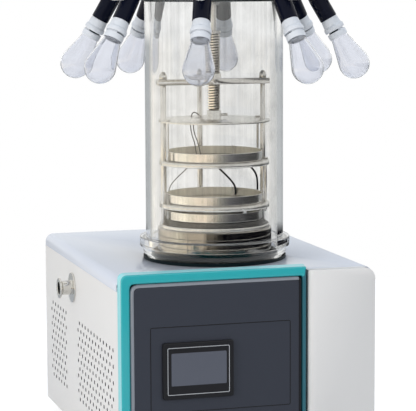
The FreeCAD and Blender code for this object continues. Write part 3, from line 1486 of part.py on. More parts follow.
def valve_shape():
    """One rubber valve body in its port's frame: sleeve, arm and passages."""
    start = value("sleeve_start")
    end = value("sleeve_end")
    tilt = arm_frame(0)
    tilt = port_frame(0).inverse() * tilt

    def along_arm(radius, low, high):
        bar = Part.makeCylinder(radius, high - low, Vector(0, 0, low))
        bar.Placement = tilt * bar.Placement
        return bar

    elbow = value("elbow_radius")
    sleeve = Part.makeCylinder(value("sleeve_radius"), end - start, Vector(start, 0, 0), X_AXIS)
    body = sleeve.fuse(along_arm(value("arm_radius"), 0, value("arm_length")))
    socket = Part.makeCylinder(
        value("nipple_radius") + value("sleeve_fit"), value("nipple_end") - start + value("sleeve_fit"),
        Vector(start, 0, 0), X_AXIS,
    )
    stem = Part.makeCylinder(
        value("stem_radius") + value("shaft_gap"), value("stem_length") + 1.0,
        Vector(end - value("stem_length") - 1.0, 0, 0), X_AXIS,
    )
    passage = Part.makeCylinder(value("valve_passage"), elbow - start, Vector(start, 0, 0), X_AXIS)
    down = along_arm(value("valve_passage"), 0, value("arm_length"))
    spigot = along_arm(
        value("cap_spigot_radius") + value("cap_fit"),
        value("arm_length") - value("cap_spigot_length") - 1.0,
        value("arm_length"),
    )
    relief = Part.makeCylinder(
        value("knob_radius") + value("running_gap"), 2 * value("knob_length"), Vector(end, 0, 0), X_AXIS,
    )
    for hollow in (socket, stem, passage, down, spigot, relief):
        body = body.cut(hollow)
    return body.removeSplitter()


def knob_shape():
    """One fluted valve knob with its stem in its port's frame."""
    start = value("sleeve_end") + value("running_gap")
    grip = Part.makeCylinder(value("knob_radius"), value("knob_length"), Vector(start, 0, 0), X_AXIS)
    stem = Part.makeCylinder(
        value("stem_radius"), value("stem_length") + value("running_gap") + 1.0,
        Vector(start - value("stem_length") - value("running_gap"), 0, 0), X_AXIS,
    )
    knob = grip.fuse(stem)
    for index in range(int(value("knob_flutes"))):
        angle = 2 * math.pi * index / int(value("knob_flutes"))
        centre = Vector(
            start + value("knob_length") * 0.35,
            value("knob_radius") * math.cos(angle),
            value("knob_radius") * math.sin(angle),
        )
        knob = knob.cut(Part.makeCylinder(value("flute_radius"), value("knob_length"), centre, X_AXIS))
    return knob.removeSplitter()


def revolved(points):
    """A solid of revolution about Z from lines and arcs in the XZ plane."""
    edges = []
    corners = [Vector(point[0], 0, point[1]) for point in points]
    for index, start in enumerate(corners):
        following = (index + 1) % len(corners)
        end = corners[following]
        if len(points[following]) == 3:
            middle = Vector(points[following][2][0], 0, points[following][2][1])
            edges.append(Part.Arc(start, middle, end).toShape())
        else:
            edges.append(Part.LineSegment(start, end).toShape())
    face = Part.Face(Part.Wire(edges))
    return face.revolve(Vector(0, 0, 0), Z_AXIS, 360)


def cap_shape():
    """One flask cap in its arm's frame: spigot, collar, lower neck and bores."""
    start = value("arm_length")
    collar_end = start + value("cap_collar_length")
    end = collar_end + value("cap_neck_length")
    passage = value("valve_passage")
    grip = end - value("flask_neck_grip") - value("cap_fit")
    neck = value("flask_neck_radius") + value("cap_fit")
    return revolved((
        (passage, start - value("cap_spigot_length")),
        (value("cap_spigot_radius"), start - value("cap_spigot_length")),
        (value("cap_spigot_radius"), start),
        (value("cap_collar_radius"), start),
        (value("cap_collar_radius"), collar_end),
        (value("cap_neck_radius"), collar_end),
        (value("cap_neck_radius"), end),
        (neck, end),
        (neck, grip),
        (passage, grip),
    ))


def pear(neck, bulb, mouth, shoulder, centre):
    """A pear: a straight neck, a flank tangent to the bulb, and the bulb."""
    rise = centre - shoulder
    distance = math.hypot(neck, rise)
    lean = math.asin(bulb / distance) + math.atan2(neck, rise) - math.pi / 2
    touch_angle = lean
    touch = (bulb * math.cos(touch_angle), centre + bulb * math.sin(touch_angle))
    middle_angle = (touch_angle + math.pi / 2) / 2
    middle = (bulb * math.cos(middle_angle), centre + bulb * math.sin(middle_angle))
    return revolved((
        (0.0, mouth),
        (neck, mouth),
        (neck, shoulder),
        touch,
        (0.0, centre + bulb, middle),
    ))


def flask_shape():
    """One glass flask in its arm's frame, open at its mouth."""
    mouth = value("flask_mouth")
    shoulder = mouth + value("flask_neck_grip") + value("flask_neck_free")
    centre = value("bulb_along_arm")
    wall = value("flask_wall")
    outer = pear(value("flask_neck_radius"), value("flask_bulb_radius"), mouth, shoulder, centre)
    inner = pear(
        value("flask_neck_radius") - wall, value("flask_bulb_radius") - wall, mouth - wall, shoulder, centre,
    )
    return outer.cut(inner)


def make_ports():
    """Valve bodies, knobs, flask caps and flasks around the manifold."""
    valve = valve_shape()
    knob = knob_shape()
    cap = cap_shape()
    flask = flask_shape()
    valves = []
    caps = []
    for index, angle in enumerate(port_angles(), start=1):
        valves.append(solid(valve))
        valves[-1].Placement = port_frame(angle)
        caps.append(solid(cap))
        caps[-1].Placement = arm_frame(angle)
        turning = solid(knob)
        turning.Placement = port_frame(angle)
        subpart(turning, f"valve_knob_{index}")
        hanging = solid(flask)
        hanging.Placement = arm_frame(angle)
        subpart(hanging, f"flask_{index}")
    subpart(group(*valves), "valve_bodies")
    subpart(group(*caps), "flask_caps")


# -------------------------------------------------------------- check and write

def check_document():
    """Stops if a feature failed or a sub-part has no valid solid."""
    DOC.recompute()
    for item in DOC.Objects:
        failed = [state for state in item.State if state in ("Invalid", "Error")]
        if failed:
            raise ValueError(f"{item.Name} ({item.Label}): {failed}")
    for item in SUBPARTS:
        if item.Shape.isNull() or not item.Shape.isValid() or not item.Shape.Solids:
            raise ValueError(f"{item.Label} has no valid solid")


def write_parts():
    """Writes each sub-part to its own file."""
    os.makedirs("parts", exist_ok=True)
    for item in SUBPARTS:
        item.Shape.exportStep(f"parts/{item.Label}.step")
    print(len(SUBPARTS), "sub-parts")


make_chassis()
make_panels()
make_top_cover()
make_front()
make_screen()
make_vacuum_port()
make_power()
make_cold_trap()
make_condenser()
make_compressor()
make_control_box()
make_chamber()
make_manifold()
make_rack_frame()
make_press()
make_shelves()
make_trays()
make_leads()
make_ports()
check_document()
write_parts()
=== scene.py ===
# %% [markdown]
# # A bench-top freeze dryer
#
# The machine is a steel cabinet with a cold trap sunk into its top. A clear
# acrylic chamber stands over the trap, with a rack of sample trays inside and
# a manifold of rubber valves and glass flasks on top.
#
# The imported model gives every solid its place. This file gives each one its
# finish, and puts a finer surface where a plain solid is too coarse. All new
# surfaces are worked out with numpy, in millimetres, around the chamber's axis.

# %% Load the frame
import json
import math

import bpy
import numpy as np
from mathutils import Matrix, Vector

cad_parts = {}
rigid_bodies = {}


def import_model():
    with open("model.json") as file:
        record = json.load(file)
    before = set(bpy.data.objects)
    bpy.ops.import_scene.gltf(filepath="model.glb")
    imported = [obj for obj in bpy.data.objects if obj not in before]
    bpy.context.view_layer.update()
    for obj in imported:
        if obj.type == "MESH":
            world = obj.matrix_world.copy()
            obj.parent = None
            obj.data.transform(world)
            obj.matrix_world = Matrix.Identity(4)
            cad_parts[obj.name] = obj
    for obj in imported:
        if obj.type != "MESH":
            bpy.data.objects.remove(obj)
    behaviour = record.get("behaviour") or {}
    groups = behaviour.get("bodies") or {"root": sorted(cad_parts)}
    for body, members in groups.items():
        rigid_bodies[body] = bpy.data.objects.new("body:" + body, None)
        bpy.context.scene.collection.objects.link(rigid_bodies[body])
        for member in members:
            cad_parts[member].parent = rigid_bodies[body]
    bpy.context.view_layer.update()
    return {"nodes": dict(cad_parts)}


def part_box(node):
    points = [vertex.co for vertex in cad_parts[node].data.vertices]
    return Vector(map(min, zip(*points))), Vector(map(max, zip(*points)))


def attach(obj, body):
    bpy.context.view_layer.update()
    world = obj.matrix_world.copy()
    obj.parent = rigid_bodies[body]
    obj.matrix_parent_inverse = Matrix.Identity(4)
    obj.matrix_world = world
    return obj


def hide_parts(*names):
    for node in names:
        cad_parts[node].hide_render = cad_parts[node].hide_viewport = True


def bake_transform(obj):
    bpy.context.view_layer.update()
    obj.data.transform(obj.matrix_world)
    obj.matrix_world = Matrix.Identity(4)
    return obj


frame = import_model()
nodes = frame["nodes"]

# %% [markdown]
# ## Where things are
#
# Positions are read from the boxes of the solids, so that a change of the
# model moves the finer surfaces with it. Millimetres are easier to read than
# metres, so everything is worked out in millimetres and scaled once, when a
# mesh is made.

# %% Boxes of the solids, in millimetres
MM = 0.001


def node_box(name):
    """Low and high corner of a solid, in millimetres."""
    low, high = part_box(name)
    return np.array(low) / MM, np.array(high) / MM


tube_low, tube_high = node_box("chamber_tube")
AXIS_Y = (tube_low[1] + tube_high[1]) / 2
SEAL = tube_low[2]
TUBE_TOP = tube_high[2]
AXIS = np.array([0.0, AXIS_Y, 0.0])
PORTS = 8
print("chamber axis at y", round(AXIS_Y, 2), "seal plane at z", round(SEAL, 2))

# %% [markdown]
# ## Tools for surfaces
#
# Almost every part is one of three kinds of surface. A turned part is an
# outline carried round an axis. A pressed or moulded part is an edge profile
# carried round a flat outline. A bar or hose is a circle carried along a path.
# All three end as a grid of points, so one function turns a grid into a mesh.

# %% From a grid of points to a mesh
def grid_faces(index, wrap_rows, wrap_columns):
    """Quads between neighbours on a grid of vertex numbers, as one array."""
    rows, columns = index.shape
    i = np.arange(rows if wrap_rows else rows - 1)[:, None]
    j = np.arange(columns if wrap_columns else columns - 1)[None, :]
    down, across = (i + 1) % rows, (j + 1) % columns
    quads = np.stack([
        index[i, j], index[i, across], index[down, across], index[down, j],
    ], axis=-1)
    return quads.reshape(-1, 4)


def make_mesh(name, points, quads):
    """A mesh from points in millimetres and quads; a quad with a repeated corner is a triangle."""
    used, inverse = np.unique(quads, return_inverse=True)
    quads = inverse.reshape(quads.shape)
    points = points.reshape(-1, 3)[used]
    faces = []
    for quad in quads.tolist():
        corners = list(dict.fromkeys(quad))
        if len(corners) > 2:
            faces.append(corners)
    mesh = bpy.data.meshes.new(name)
    mesh.from_pydata((points * MM).tolist(), [], faces)
    mesh.validate()
    return mesh


def piece(name, shells, sharp=38.0, weighted=True):
    """One object from several shells; each shell is (points, quads), all in place."""
    offset, all_points, all_quads = 0, [], []
    for points, quads in shells:
        flat = points.reshape(-1, 3)
        all_points.append(flat)
        all_quads.append(quads + offset)
        offset += len(flat)
    mesh = make_mesh(name, np.concatenate(all_points), np.concatenate(all_quads))
    mesh.shade_smooth()
    mesh.set_sharp_from_angle(angle=math.radians(sharp))
    thing = bpy.data.objects.new(name, mesh)
    bpy.context.scene.collection.objects.link(thing)
    if weighted:
        normals = thing.modifiers.new("even shading", "WEIGHTED_NORMAL")
        normals.keep_sharp = True
    return thing


# %% [markdown]
# A machined edge is never razor sharp: it catches a thin line of light. So
# outlines get small rounds at their corners before they are turned or carried.

# %% Rounded outlines
def rounded(corners, trims, steps=4, closed=True):
    """Each corner p becomes (1-t)^2 a + 2t(1-t) p + t^2 b, with a and b a trim before and after it."""
    p = np.asarray(corners, float)
    trims = np.broadcast_to(np.asarray(trims, float), len(p)).copy()
    back, ahead = np.roll(p, 1, 0) - p, np.roll(p, -1, 0) - p
    if not closed:
        trims[[0, -1]] = 0
    back_length = np.linalg.norm(back, axis=1)
    ahead_length = np.linalg.norm(ahead, axis=1)
    trims = np.minimum(trims, 0.48 * np.minimum(back_length, ahead_length))
    a = p + back / np.maximum(back_length, 1e-9)[:, None] * trims[:, None]
    b = p + ahead / np.maximum(ahead_length, 1e-9)[:, None] * trims[:, None]
    t = np.linspace(0, 1, steps)[None, :, None]
    curve = (1 - t) ** 2 * a[:, None] + 2 * t * (1 - t) * p[:, None] + t ** 2 * b[:, None]
    curve = curve.reshape(-1, p.shape[1])
    step = np.linalg.norm(curve - np.roll(curve, 1, 0), axis=1)
    keep = step > 1e-7
    if not closed:
        keep[0] = True
    return curve[keep]


def rectangle(low, high, trims, steps=6):
    """A rounded rectangle from its low and high corner; trims for low-left, low-right, top-right, top-left."""
    (x0, y0), (x1, y1) = low, high
    return rounded([[x0, y0], [x1, y0], [x1, y1], [x0, y1]], trims, steps)


# %% [markdown]
# A turned part: the outline lies in the plane of radius and height, and each
# of its points goes once round. Points on the axis become a pole.

# %% Turned parts
def turned(outline, segments=96, place=None, ripple=None):
    """x = r cos a, y = r sin a, z = z, round an outline of (r, z); its two ends lie on the axis, or it closes."""
    outline = np.asarray(outline, float)
    r, z = outline[:, 0], outline[:, 1]
    open_ended = r[0] < 1e-6 and r[-1] < 1e-6
    area = np.sum(r * np.roll(z, -1) - np.roll(r, -1) * z)
    if area < 0:
        r, z = r[::-1], z[::-1]
    angle = np.linspace(0, 2 * np.pi, segments, endpoint=False)
    radius = r[:, None] * np.ones(segments)
    if ripple is not None:
        radius = ripple(radius, z[:, None], angle[None, :])
    points = np.stack([
        radius * np.cos(angle), radius * np.sin(angle), z[:, None] + 0 * radius,
    ], axis=-1)
    index = np.arange(len(r) * segments).reshape(len(r), segments)
    on_axis = r < 1e-6
    index[on_axis] = index[on_axis][:, :1]
    quads = grid_faces(index, not open_ended, True)
    return moved(points, place), quads


def moved(points, place):
    """Points after a 4 by 4 placement, in millimetres."""
    if place is None:
        return points
    place = np.asarray(place, float)
    return points @ place[:3, :3].T + place[:3, 3]


def at(x=0.0, y=0.0, z=0.0, axes=None):
    """A placement: the columns of axes are where x, y and z point."""
    place = np.eye(4)
    if axes is not None:
        place[:3, :3] = np.array(axes, float).T
    place[:3, 3] = (x, y, z)
    return place


def on_axis(z=0.0):
    """A placement on the chamber's axis."""
    return at(0, AXIS_Y, z)


def around(angle):
    """A turn about the chamber's axis, in degrees."""
    c, s = math.cos(math.radians(angle)), math.sin(math.radians(angle))
    return at(0, AXIS_Y, 0, [[c, s, 0], [-s, c, 0], [0, 0, 1]])


# %% [markdown]
# A pressed or moulded part: a flat outline, and a profile that says how far
# the surface draws in from it and how deep it lies. The flat faces close onto
# a middle point, past a narrow flat margin that keeps their shading flat.

# %% Parts with an outline and an edge profile
def outward(outline):
    """Unit normals of a closed outline, pointing outwards for a counterclockwise one."""
    along = np.roll(outline, -1, 0) - np.roll(outline, 1, 0)
    normal = np.stack([along[:, 1], -along[:, 0]], axis=1)
    return normal / np.maximum(np.linalg.norm(normal, axis=1), 1e-9)[:, None]


def carried(outline, profile, frame_axes, origin, caps=(True, True)):
    """outline + inset along its normal, at a depth: P = o + u (x - i n_x) + v (y - i n_y) + w d."""
    outline = np.asarray(outline, float)
    area = np.sum(outline[:, 0] * np.roll(outline[:, 1], -1) - np.roll(outline[:, 0], -1) * outline[:, 1])
    if area < 0:
        outline = outline[::-1]
    normal = outward(outline)
    profile = np.asarray(profile, float)
    margin = min(0.6, 0.1 * float(np.ptp(outline, axis=0).min()))
    if caps[0]:
        profile = np.concatenate([profile[:1] + [[margin, 0]], profile])
    if caps[1]:
        profile = np.concatenate([profile, profile[-1:] + [[margin, 0]]])
    inset, depth = profile[:, 0], profile[:, 1]
    flat = outline[None] - inset[:, None, None] * normal[None]
    u, v, w = (np.asarray(axis, float) for axis in frame_axes)
    points = origin + flat[..., :1] * u + flat[..., 1:2] * v + depth[:, None, None] * w
    count = len(outline)
    index = np.arange(points.shape[0] * count).reshape(points.shape[0], count)
    middle = outline.mean(0)
    rows, extra = [], []
    total = index.size
    if caps[0]:
        rows.append(np.full((1, count), total))
        extra.append(origin + middle[0] * u + middle[1] * v + depth[0] * w)
        total += 1
    rows.append(index)
    if caps[1]:
        rows.append(np.full((1, count), total))
        extra.append(origin + middle[0] * u + middle[1] * v + depth[-1] * w)
    index = np.concatenate(rows)
    points = points.reshape(-1, 3)
    if extra:
        points = np.concatenate([points, np.array(extra)])
    quads = grid_faces(index, not (caps[0] or caps[1]), True)
    if np.dot(np.cross(u, v), w) < 0:
        quads = quads[:, ::-1]
    return points, quads


def edge_roll(radius, thickness, steps=5, back=0.4):
    """Inset and depth across a plate: a small round at its back, a quarter round of that radius at its front."""
    t = np.linspace(0, np.pi / 2, steps)
    front = np.stack([radius * (1 - np.cos(t)), thickness - radius * (1 - np.sin(t))], axis=1)
    rear = np.array([[back, 0.0], [0.0, back]])
    return np.concatenate([rear, front])


FRONT_AXES = ((1, 0, 0), (0, 0, 1), (0, -1, 0))
UP_AXES = ((1, 0, 0), (0, 1, 0), (0, 0, 1))


def block(low, high, edge=0.6, steps=3):
    """A box with rolled edges, from its low and high corner, standing on its low face."""
    low, high = np.asarray(low, float), np.asarray(high, float)
    edge = min(edge, 0.45 * float((high - low).min()))
    outline = rectangle(low[:2], high[:2], 2.2 * edge, steps)
    t = np.linspace(0, np.pi / 2, steps)
    thickness = high[2] - low[2]
    rise = np.stack([edge * (1 - np.sin(t)), edge * (1 - np.cos(t))], axis=1)
    fall = np.stack([edge * (1 - np.cos(t)), thickness - edge * (1 - np.sin(t))], axis=1)
    return carried(outline, np.concatenate([rise, fall]), UP_AXES, np.array([0, 0, low[2]]))


# %% [markdown]
# A bar or hose: a circle carried along a path. Each circle stands square to
# the path, and its start direction is kept from one point to the next.

# %% Bars and hoses along a path
def swept(path, radius, segments=16, closed_ends=True):
    """A tube round a path: p + r (cos a * side + sin a * up), side and up square to the path."""
    path = np.asarray(path, float)
    radius = np.broadcast_to(np.asarray(radius, float), len(path))
    along = np.gradient(path, axis=0)
    along /= np.linalg.norm(along, axis=1)[:, None]
    middle = path.mean(0) - path[0]
    hint = np.cross(along[0], [0.0, 0.0, 1.0])
    if np.linalg.norm(hint) < 0.2:
        hint = np.cross(along[0], [0.0, 1.0, 0.0])
    plane = np.cross(along[0], along[-1])
    if np.linalg.norm(plane) > 0.05:
        hint = plane
    elif np.linalg.norm(np.cross(along[0], middle)) > 0.05 * np.linalg.norm(middle):
        hint = np.cross(along[0], middle)
    side = np.cross(along, np.cross(hint, along))
    side /= np.linalg.norm(side, axis=1)[:, None]
    up = np.cross(along, side)
    angle = np.linspace(0, 2 * np.pi, segments, endpoint=False)
    ring = np.cos(angle)[None, :, None] * side[:, None] + np.sin(angle)[None, :, None] * up[:, None]
    points = path[:, None] + radius[:, None, None] * ring
    index = np.arange(len(path) * segments).reshape(len(path), segments)
    points = points.reshape(-1, 3)
    if closed_ends:
        total = index.size
        index = np.concatenate([np.full((1, segments), total), index, np.full((1, segments), total + 1)])
        points = np.concatenate([points, path[[0, -1]]])
    return points, grid_faces(index, False, True)


def smooth_bend(corners, bend, steps=8):
    """A path through corners, with a round of that trim at each inner one."""
    return rounded(corners, bend, steps, closed=False)


# %% [markdown]
# ## Finishes
#
# A real surface is never one flat colour. Paint has a fine orange peel, steel
# has grain and rubber has a bloom. The effects that several finishes share
# are node groups. Each reads Object coordinates, so it stays put on its piece.

# %% Node helpers
def new_material(name):
    """A material with its Principled shader and the tree to build on."""
    material = bpy.data.materials.new(name)
    material.use_nodes = True
    tree = material.node_tree
    return material, tree, tree.nodes["Principled BSDF"]


def node(tree, kind, label="", **settings):
    """A node with its settings; sockets are set by name."""
    made = tree.nodes.new(kind)
    made.label = label
    for key, value in settings.items():
        if hasattr(made, key):
            setattr(made, key, value)
        else:
            made.inputs[key.replace("_", " ")].default_value = value
    return made


def calculate(tree, label, operation, *values, **settings):
    """The result of a Math node; each value is a number or a socket to read."""
    made = node(tree, "ShaderNodeMath", label, operation=operation, **settings)
    for socket, value in zip(made.inputs, values):
        if isinstance(value, float):
            socket.default_value = value
        else:
            tree.links.new(value, socket)
    return made.outputs[0]


def ramped(tree, label, value, low, high):
    """0 where the value is at low, 1 where it is at high."""
    made = node(tree, "ShaderNodeMapRange", label, From_Min=low, From_Max=high)
    tree.links.new(value, made.inputs["Value"])
    return made.outputs[0]


def new_group(name, inputs, outputs):
    """A shader node group with named inputs and outputs."""
    group = bpy.data.node_groups.new(name, "ShaderNodeTree")
    for title, value in inputs.items():
        kind = "NodeSocketFloat" if isinstance(value, float) else "NodeSocketColor"
        socket = group.interface.new_socket(name=title, in_out="INPUT", socket_type=kind)
        socket.default_value = value if isinstance(value, float) else (*value, 1.0)
    for title, kind in outputs.items():
        group.interface.new_socket(name=title, in_out="OUTPUT", socket_type=kind)
    return group, group.nodes.new("NodeGroupInput"), group.nodes.new("NodeGroupOutput")


def use_group(tree, group, **values):
    """A group placed in a material with its own values."""
    made = tree.nodes.new("ShaderNodeGroup")
    made.node_tree = group
    for key, value in values.items():
        socket = made.inputs[key.replace("_", " ")]
        socket.default_value = value if isinstance(value, float) else (*value, 1.0)
    return made


def noise(tree, label, vector, scale, detail):
    """A noise texture read at a vector."""
    made = node(tree, "ShaderNodeTexNoise", label, Scale=scale, Detail=detail)
    tree.links.new(vector, made.inputs["Vector"])
    return made.outputs["Fac"]


def finish_skin(tree, given, result, amount, rough, height, strength, distance):
    """The end of a skin: colour times 1 + amount, its roughness, and a bump of that height."""
    link = tree.links.new
    bump = node(tree, "ShaderNodeBump", "height", Distance=distance)
    link(height, bump.inputs["Height"])
    link(strength, bump.inputs["Strength"])
    tint = node(tree, "ShaderNodeVectorMath", "tint", operation="SCALE")
    link(given.outputs["Color"], tint.inputs[0])
    link(calculate(tree, "gain", "ADD", amount, 1.0), tint.inputs["Scale"])
    link(tint.outputs[0], result.inputs["Color"])
    link(rough, result.inputs["Roughness"])
    link(bump.outputs[0], result.inputs["Normal"])


def wear_skin(tree, skin, shader, names=("Color", "Roughness", "Normal")):
    """Links a skin's outputs to the shader; its colour is the base colour."""
    for name in names:
        tree.links.new(skin.outputs[name], shader.inputs["Base Color" if name == "Color" else name])


# %% [markdown]
# Powder paint: a fine orange peel in the height, and a faint cloud in the
# colour, where dust and hands have been.

# %% The paint group
paint_group, paint_in, paint_out = new_group(
    "paint skin",
    {"Color": (0.8, 0.8, 0.8), "Peel": 0.02, "Cloud": 0.03, "Base Roughness": 0.4},
    {"Color": "NodeSocketColor", "Roughness": "NodeSocketFloat", "Normal": "NodeSocketVector"},
)


def build_paint():
    """Noise at 1.4 mm lifts the surface, noise at 90 mm clouds colour and gloss."""
    tree = paint_group
    where = node(tree, "ShaderNodeTexCoord").outputs["Object"]
    peel = noise(tree, "peel", where, 700.0, 2.0)
    cloud = noise(tree, "cloud", where, 11.0, 4.0)
    centred = calculate(tree, "centred", "SUBTRACT", cloud, 0.5)
    amount = calculate(tree, "amount", "MULTIPLY", centred, paint_in.outputs["Cloud"])
    rough = calculate(tree, "roughness", "ADD", paint_in.outputs["Base Roughness"], amount)
    finish_skin(tree, paint_in, paint_out, amount, rough, peel, paint_in.outputs["Peel"], 0.0006)


build_paint()

# %% [markdown]
# Turned and drawn steel: the tool leaves fine lines. Stretching a noise along
# one axis gives lines; the group takes the scale of each axis, so the same
# grain serves rings round a tray and streaks along a rod. On the polished trap
# its strong streaks in the colour are partly a painted reflection.

# %% The steel grain group
grain_group, grain_in, grain_out = new_group(
    "steel grain",
    {
        "Color": (0.7, 0.7, 0.7), "Across": 40.0, "Along": 2500.0, "Depth": 0.05,
        "Base Roughness": 0.25, "Stain": 0.08,
    },
    {"Color": "NodeSocketColor", "Roughness": "NodeSocketFloat", "Normal": "NodeSocketVector"},
)


def build_grain():
    """Noise of (x, y) * Across and z * Along gives rings; a wide noise stains colour and gloss."""
    tree = grain_group
    link = tree.links.new
    where = node(tree, "ShaderNodeTexCoord").outputs["Object"]
    split = node(tree, "ShaderNodeSeparateXYZ")
    link(where, split.inputs[0])
    joined = node(tree, "ShaderNodeCombineXYZ")
    for axis, scale in (("X", "Across"), ("Y", "Across"), ("Z", "Along")):
        stretched = calculate(tree, f"{axis} stretched", "MULTIPLY", split.outputs[axis], grain_in.outputs[scale])
        link(stretched, joined.inputs[axis])
    lines = noise(tree, "lines", joined.outputs[0], 1.0, 3.0)
    stain = noise(tree, "stain", where, 26.0, 5.0)
    centred = calculate(tree, "centred", "SUBTRACT", calculate(tree, "lines and stain", "ADD", lines, stain), 1.0)
    amount = calculate(tree, "amount", "MULTIPLY", centred, grain_in.outputs["Stain"])
    gloss = calculate(tree, "gloss change", "MULTIPLY", amount, 0.25)
    rough = calculate(tree, "roughness", "SUBTRACT", grain_in.outputs["Base Roughness"], gloss, use_clamp=True)
    finish_skin(tree, grain_in, grain_out, amount, rough, lines, grain_in.outputs["Depth"], 0.0004)


build_grain()


# %% Painted, steel, rubber and plastic finishes
def painted(name, color, roughness=0.4, peel=0.02, cloud=0.04, coat=0.0, gloss=0.5):
    """A paint or moulded plastic on the paint group."""
    material, tree, shader = new_material(name)
    shader.inputs["Specular IOR Level"].default_value = gloss
    skin = use_group(tree, paint_group, Color=color, Peel=peel, Cloud=cloud, Base_Roughness=roughness)
    wear_skin(tree, skin, shader)
    shader.inputs["Coat Weight"].default_value = coat
    shader.inputs["Coat Roughness"].default_value = 0.08
    return material


def metal(name, color, roughness=0.25, across=40.0, along=2500.0, depth=0.05, stain=0.08):
    """A bare metal on the grain group."""
    material, tree, shader = new_material(name)
    skin = use_group(
        tree, grain_group, Color=color, Across=across, Along=along, Depth=depth,
        Base_Roughness=roughness, Stain=stain,
    )
    wear_skin(tree, skin, shader)
    shader.inputs["Metallic"].default_value = 1.0
    return material


white_panel = painted("panel white", (0.855, 0.835, 0.80), 0.42, 0.10, 0.03)
# The cover's bluish tint is partly painted light: the cool light that falls on the top.
cover_white_and_cool_light = painted("cover white with painted cool light", (0.685, 0.715, 0.785), 0.30, 0.05, 0.03, coat=0.3)
white_pillar = painted("pillar white", (0.745, 0.73, 0.71), 0.40, 0.03, 0.02)
teal = painted("frame teal", (0.014, 0.39, 0.42), 0.34, 0.03, 0.04, coat=0.7)
# Painted highlight: the frame's outer side is a paler teal.
painted_highlight_teal = painted("frame side teal painted highlight", (0.30, 0.70, 0.73), 0.30, 0.03, 0.04, coat=0.7)
# Painted shade: the front of the frame's right bar is a darker teal.
painted_shade_teal = painted("frame right teal painted shade", (0.012, 0.115, 0.150), 0.36, 0.03, 0.04, coat=0.2)
anthracite = painted("fascia anthracite", (0.029, 0.033, 0.046), 0.46, 0.08, 0.06, gloss=0.34)
# Painted reflection: the grey stands for the bright surround mirrored in the fascia's rolled edge.
trim_painted_reflection = painted("trim grey painted reflection", (0.20, 0.215, 0.245), 0.26, 0.02, 0.03, coat=0.6)
bezel_black = painted("bezel black", (0.009, 0.009, 0.011), 0.34, 0.02, 0.04, gloss=0.25)
outline_silver = painted("outline silver", (0.46, 0.47, 0.49), 0.35, 0.0, 0.02)
rack_steel = metal("rack steel", (0.74, 0.72, 0.69), 0.22, 30.0, 1500.0, 0.05)
tray_steel = metal("tray steel", (0.78, 0.76, 0.73), 0.16, 420.0, 6.0, 0.03, 0.22)
# Painted reflection: the inside's brighter, warmer colour stands for reflected light; its higher roughness is its
# duller finish.
tray_inside_painted_reflection = metal("tray inside steel painted reflection", (0.96, 0.915, 0.82), 0.5, 420.0, 6.0, 0.03, 0.30)
plate_steel = metal("shelf steel", (0.76, 0.745, 0.715), 0.26, 220.0, 220.0, 0.0, 0.03)
rod_steel = metal("drawn rod steel", (0.76, 0.74, 0.71), 0.20, 900.0, 20.0, 0.04)
drum_steel = metal("turned drum steel", (0.58, 0.58, 0.585), 0.26, 14.0, 2200.0, 0.05)
# The trap's strong light and dark streaks are partly a painted reflection, over its turned lines.
trap_steel = metal("polished trap steel", (0.36, 0.345, 0.32), 0.07, 520.0, 6.0, 0.01, 1.3)
bright_steel = metal("bright steel", (0.66, 0.645, 0.61), 0.10, 200.0, 200.0, 0.02)
hose_rubber = painted("hose rubber", (0.0015, 0.0028, 0.011), 0.26, 0.04, 0.25, gloss=0.12)
gasket_rubber = painted("gasket rubber", (0.002, 0.008, 0.010), 0.45, 0.05, 0.10, gloss=0.1)
foot_rubber = painted("foot rubber", (0.020, 0.020, 0.021), 0.60, 0.10, 0.15)
cap_white = painted("cap white", (0.72, 0.74, 0.77), 0.38, 0.03, 0.05)
knob_white = painted("knob white", (0.80, 0.79, 0.77), 0.32, 0.02, 0.03)
black_jacket = painted("lead jacket black", (0.005, 0.005, 0.006), 0.40, 0.03, 0.1, gloss=0.15)
grey_jacket = painted("lead jacket grey", (0.17, 0.17, 0.17), 0.42, 0.03, 0.1)
pale_jacket = painted("lead jacket pale", (0.44, 0.40, 0.385), 0.42, 0.03, 0.1)
chassis_grey = painted("chassis grey", (0.35, 0.36, 0.36), 0.45, 0.10, 0.05)
black_shell = painted("black enamel", (0.010, 0.010, 0.011), 0.25, 0.05, 0.05)
black_plastic = painted("black plastic", (0.016, 0.016, 0.017), 0.38, 0.05, 0.05)
foam_cream = painted("insulating foam", (0.78, 0.70, 0.48), 0.85, 0.60, 0.25)
copper_bright = metal("drawn copper", (0.78, 0.42, 0.28), 0.22, 300.0, 300.0, 0.02)
fin_aluminium = metal("fin aluminium", (0.60, 0.61, 0.63), 0.35, 80.0, 80.0, 0.02)

# %% [markdown]
# Three finishes get painted shade by depth. The wall of a punched hole lies in
# shade, and is painted dark against the white face. The root of a thread is
# painted dark for its shade and its oil, and only the crest is left bright. The
# rack's base plate is painted dark on top as shade, inside its bright rim. One
# group measures the depth.

# %% The depth group
depth_group, depth_in, depth_out = new_group(
    "depth mask",
    {"Face": 0.239, "Reach": 0.0003, "Middle Y": 0.0, "Round": 0.0, "Front": -9.0},
    {"Mask": "NodeSocketFloat"},
)


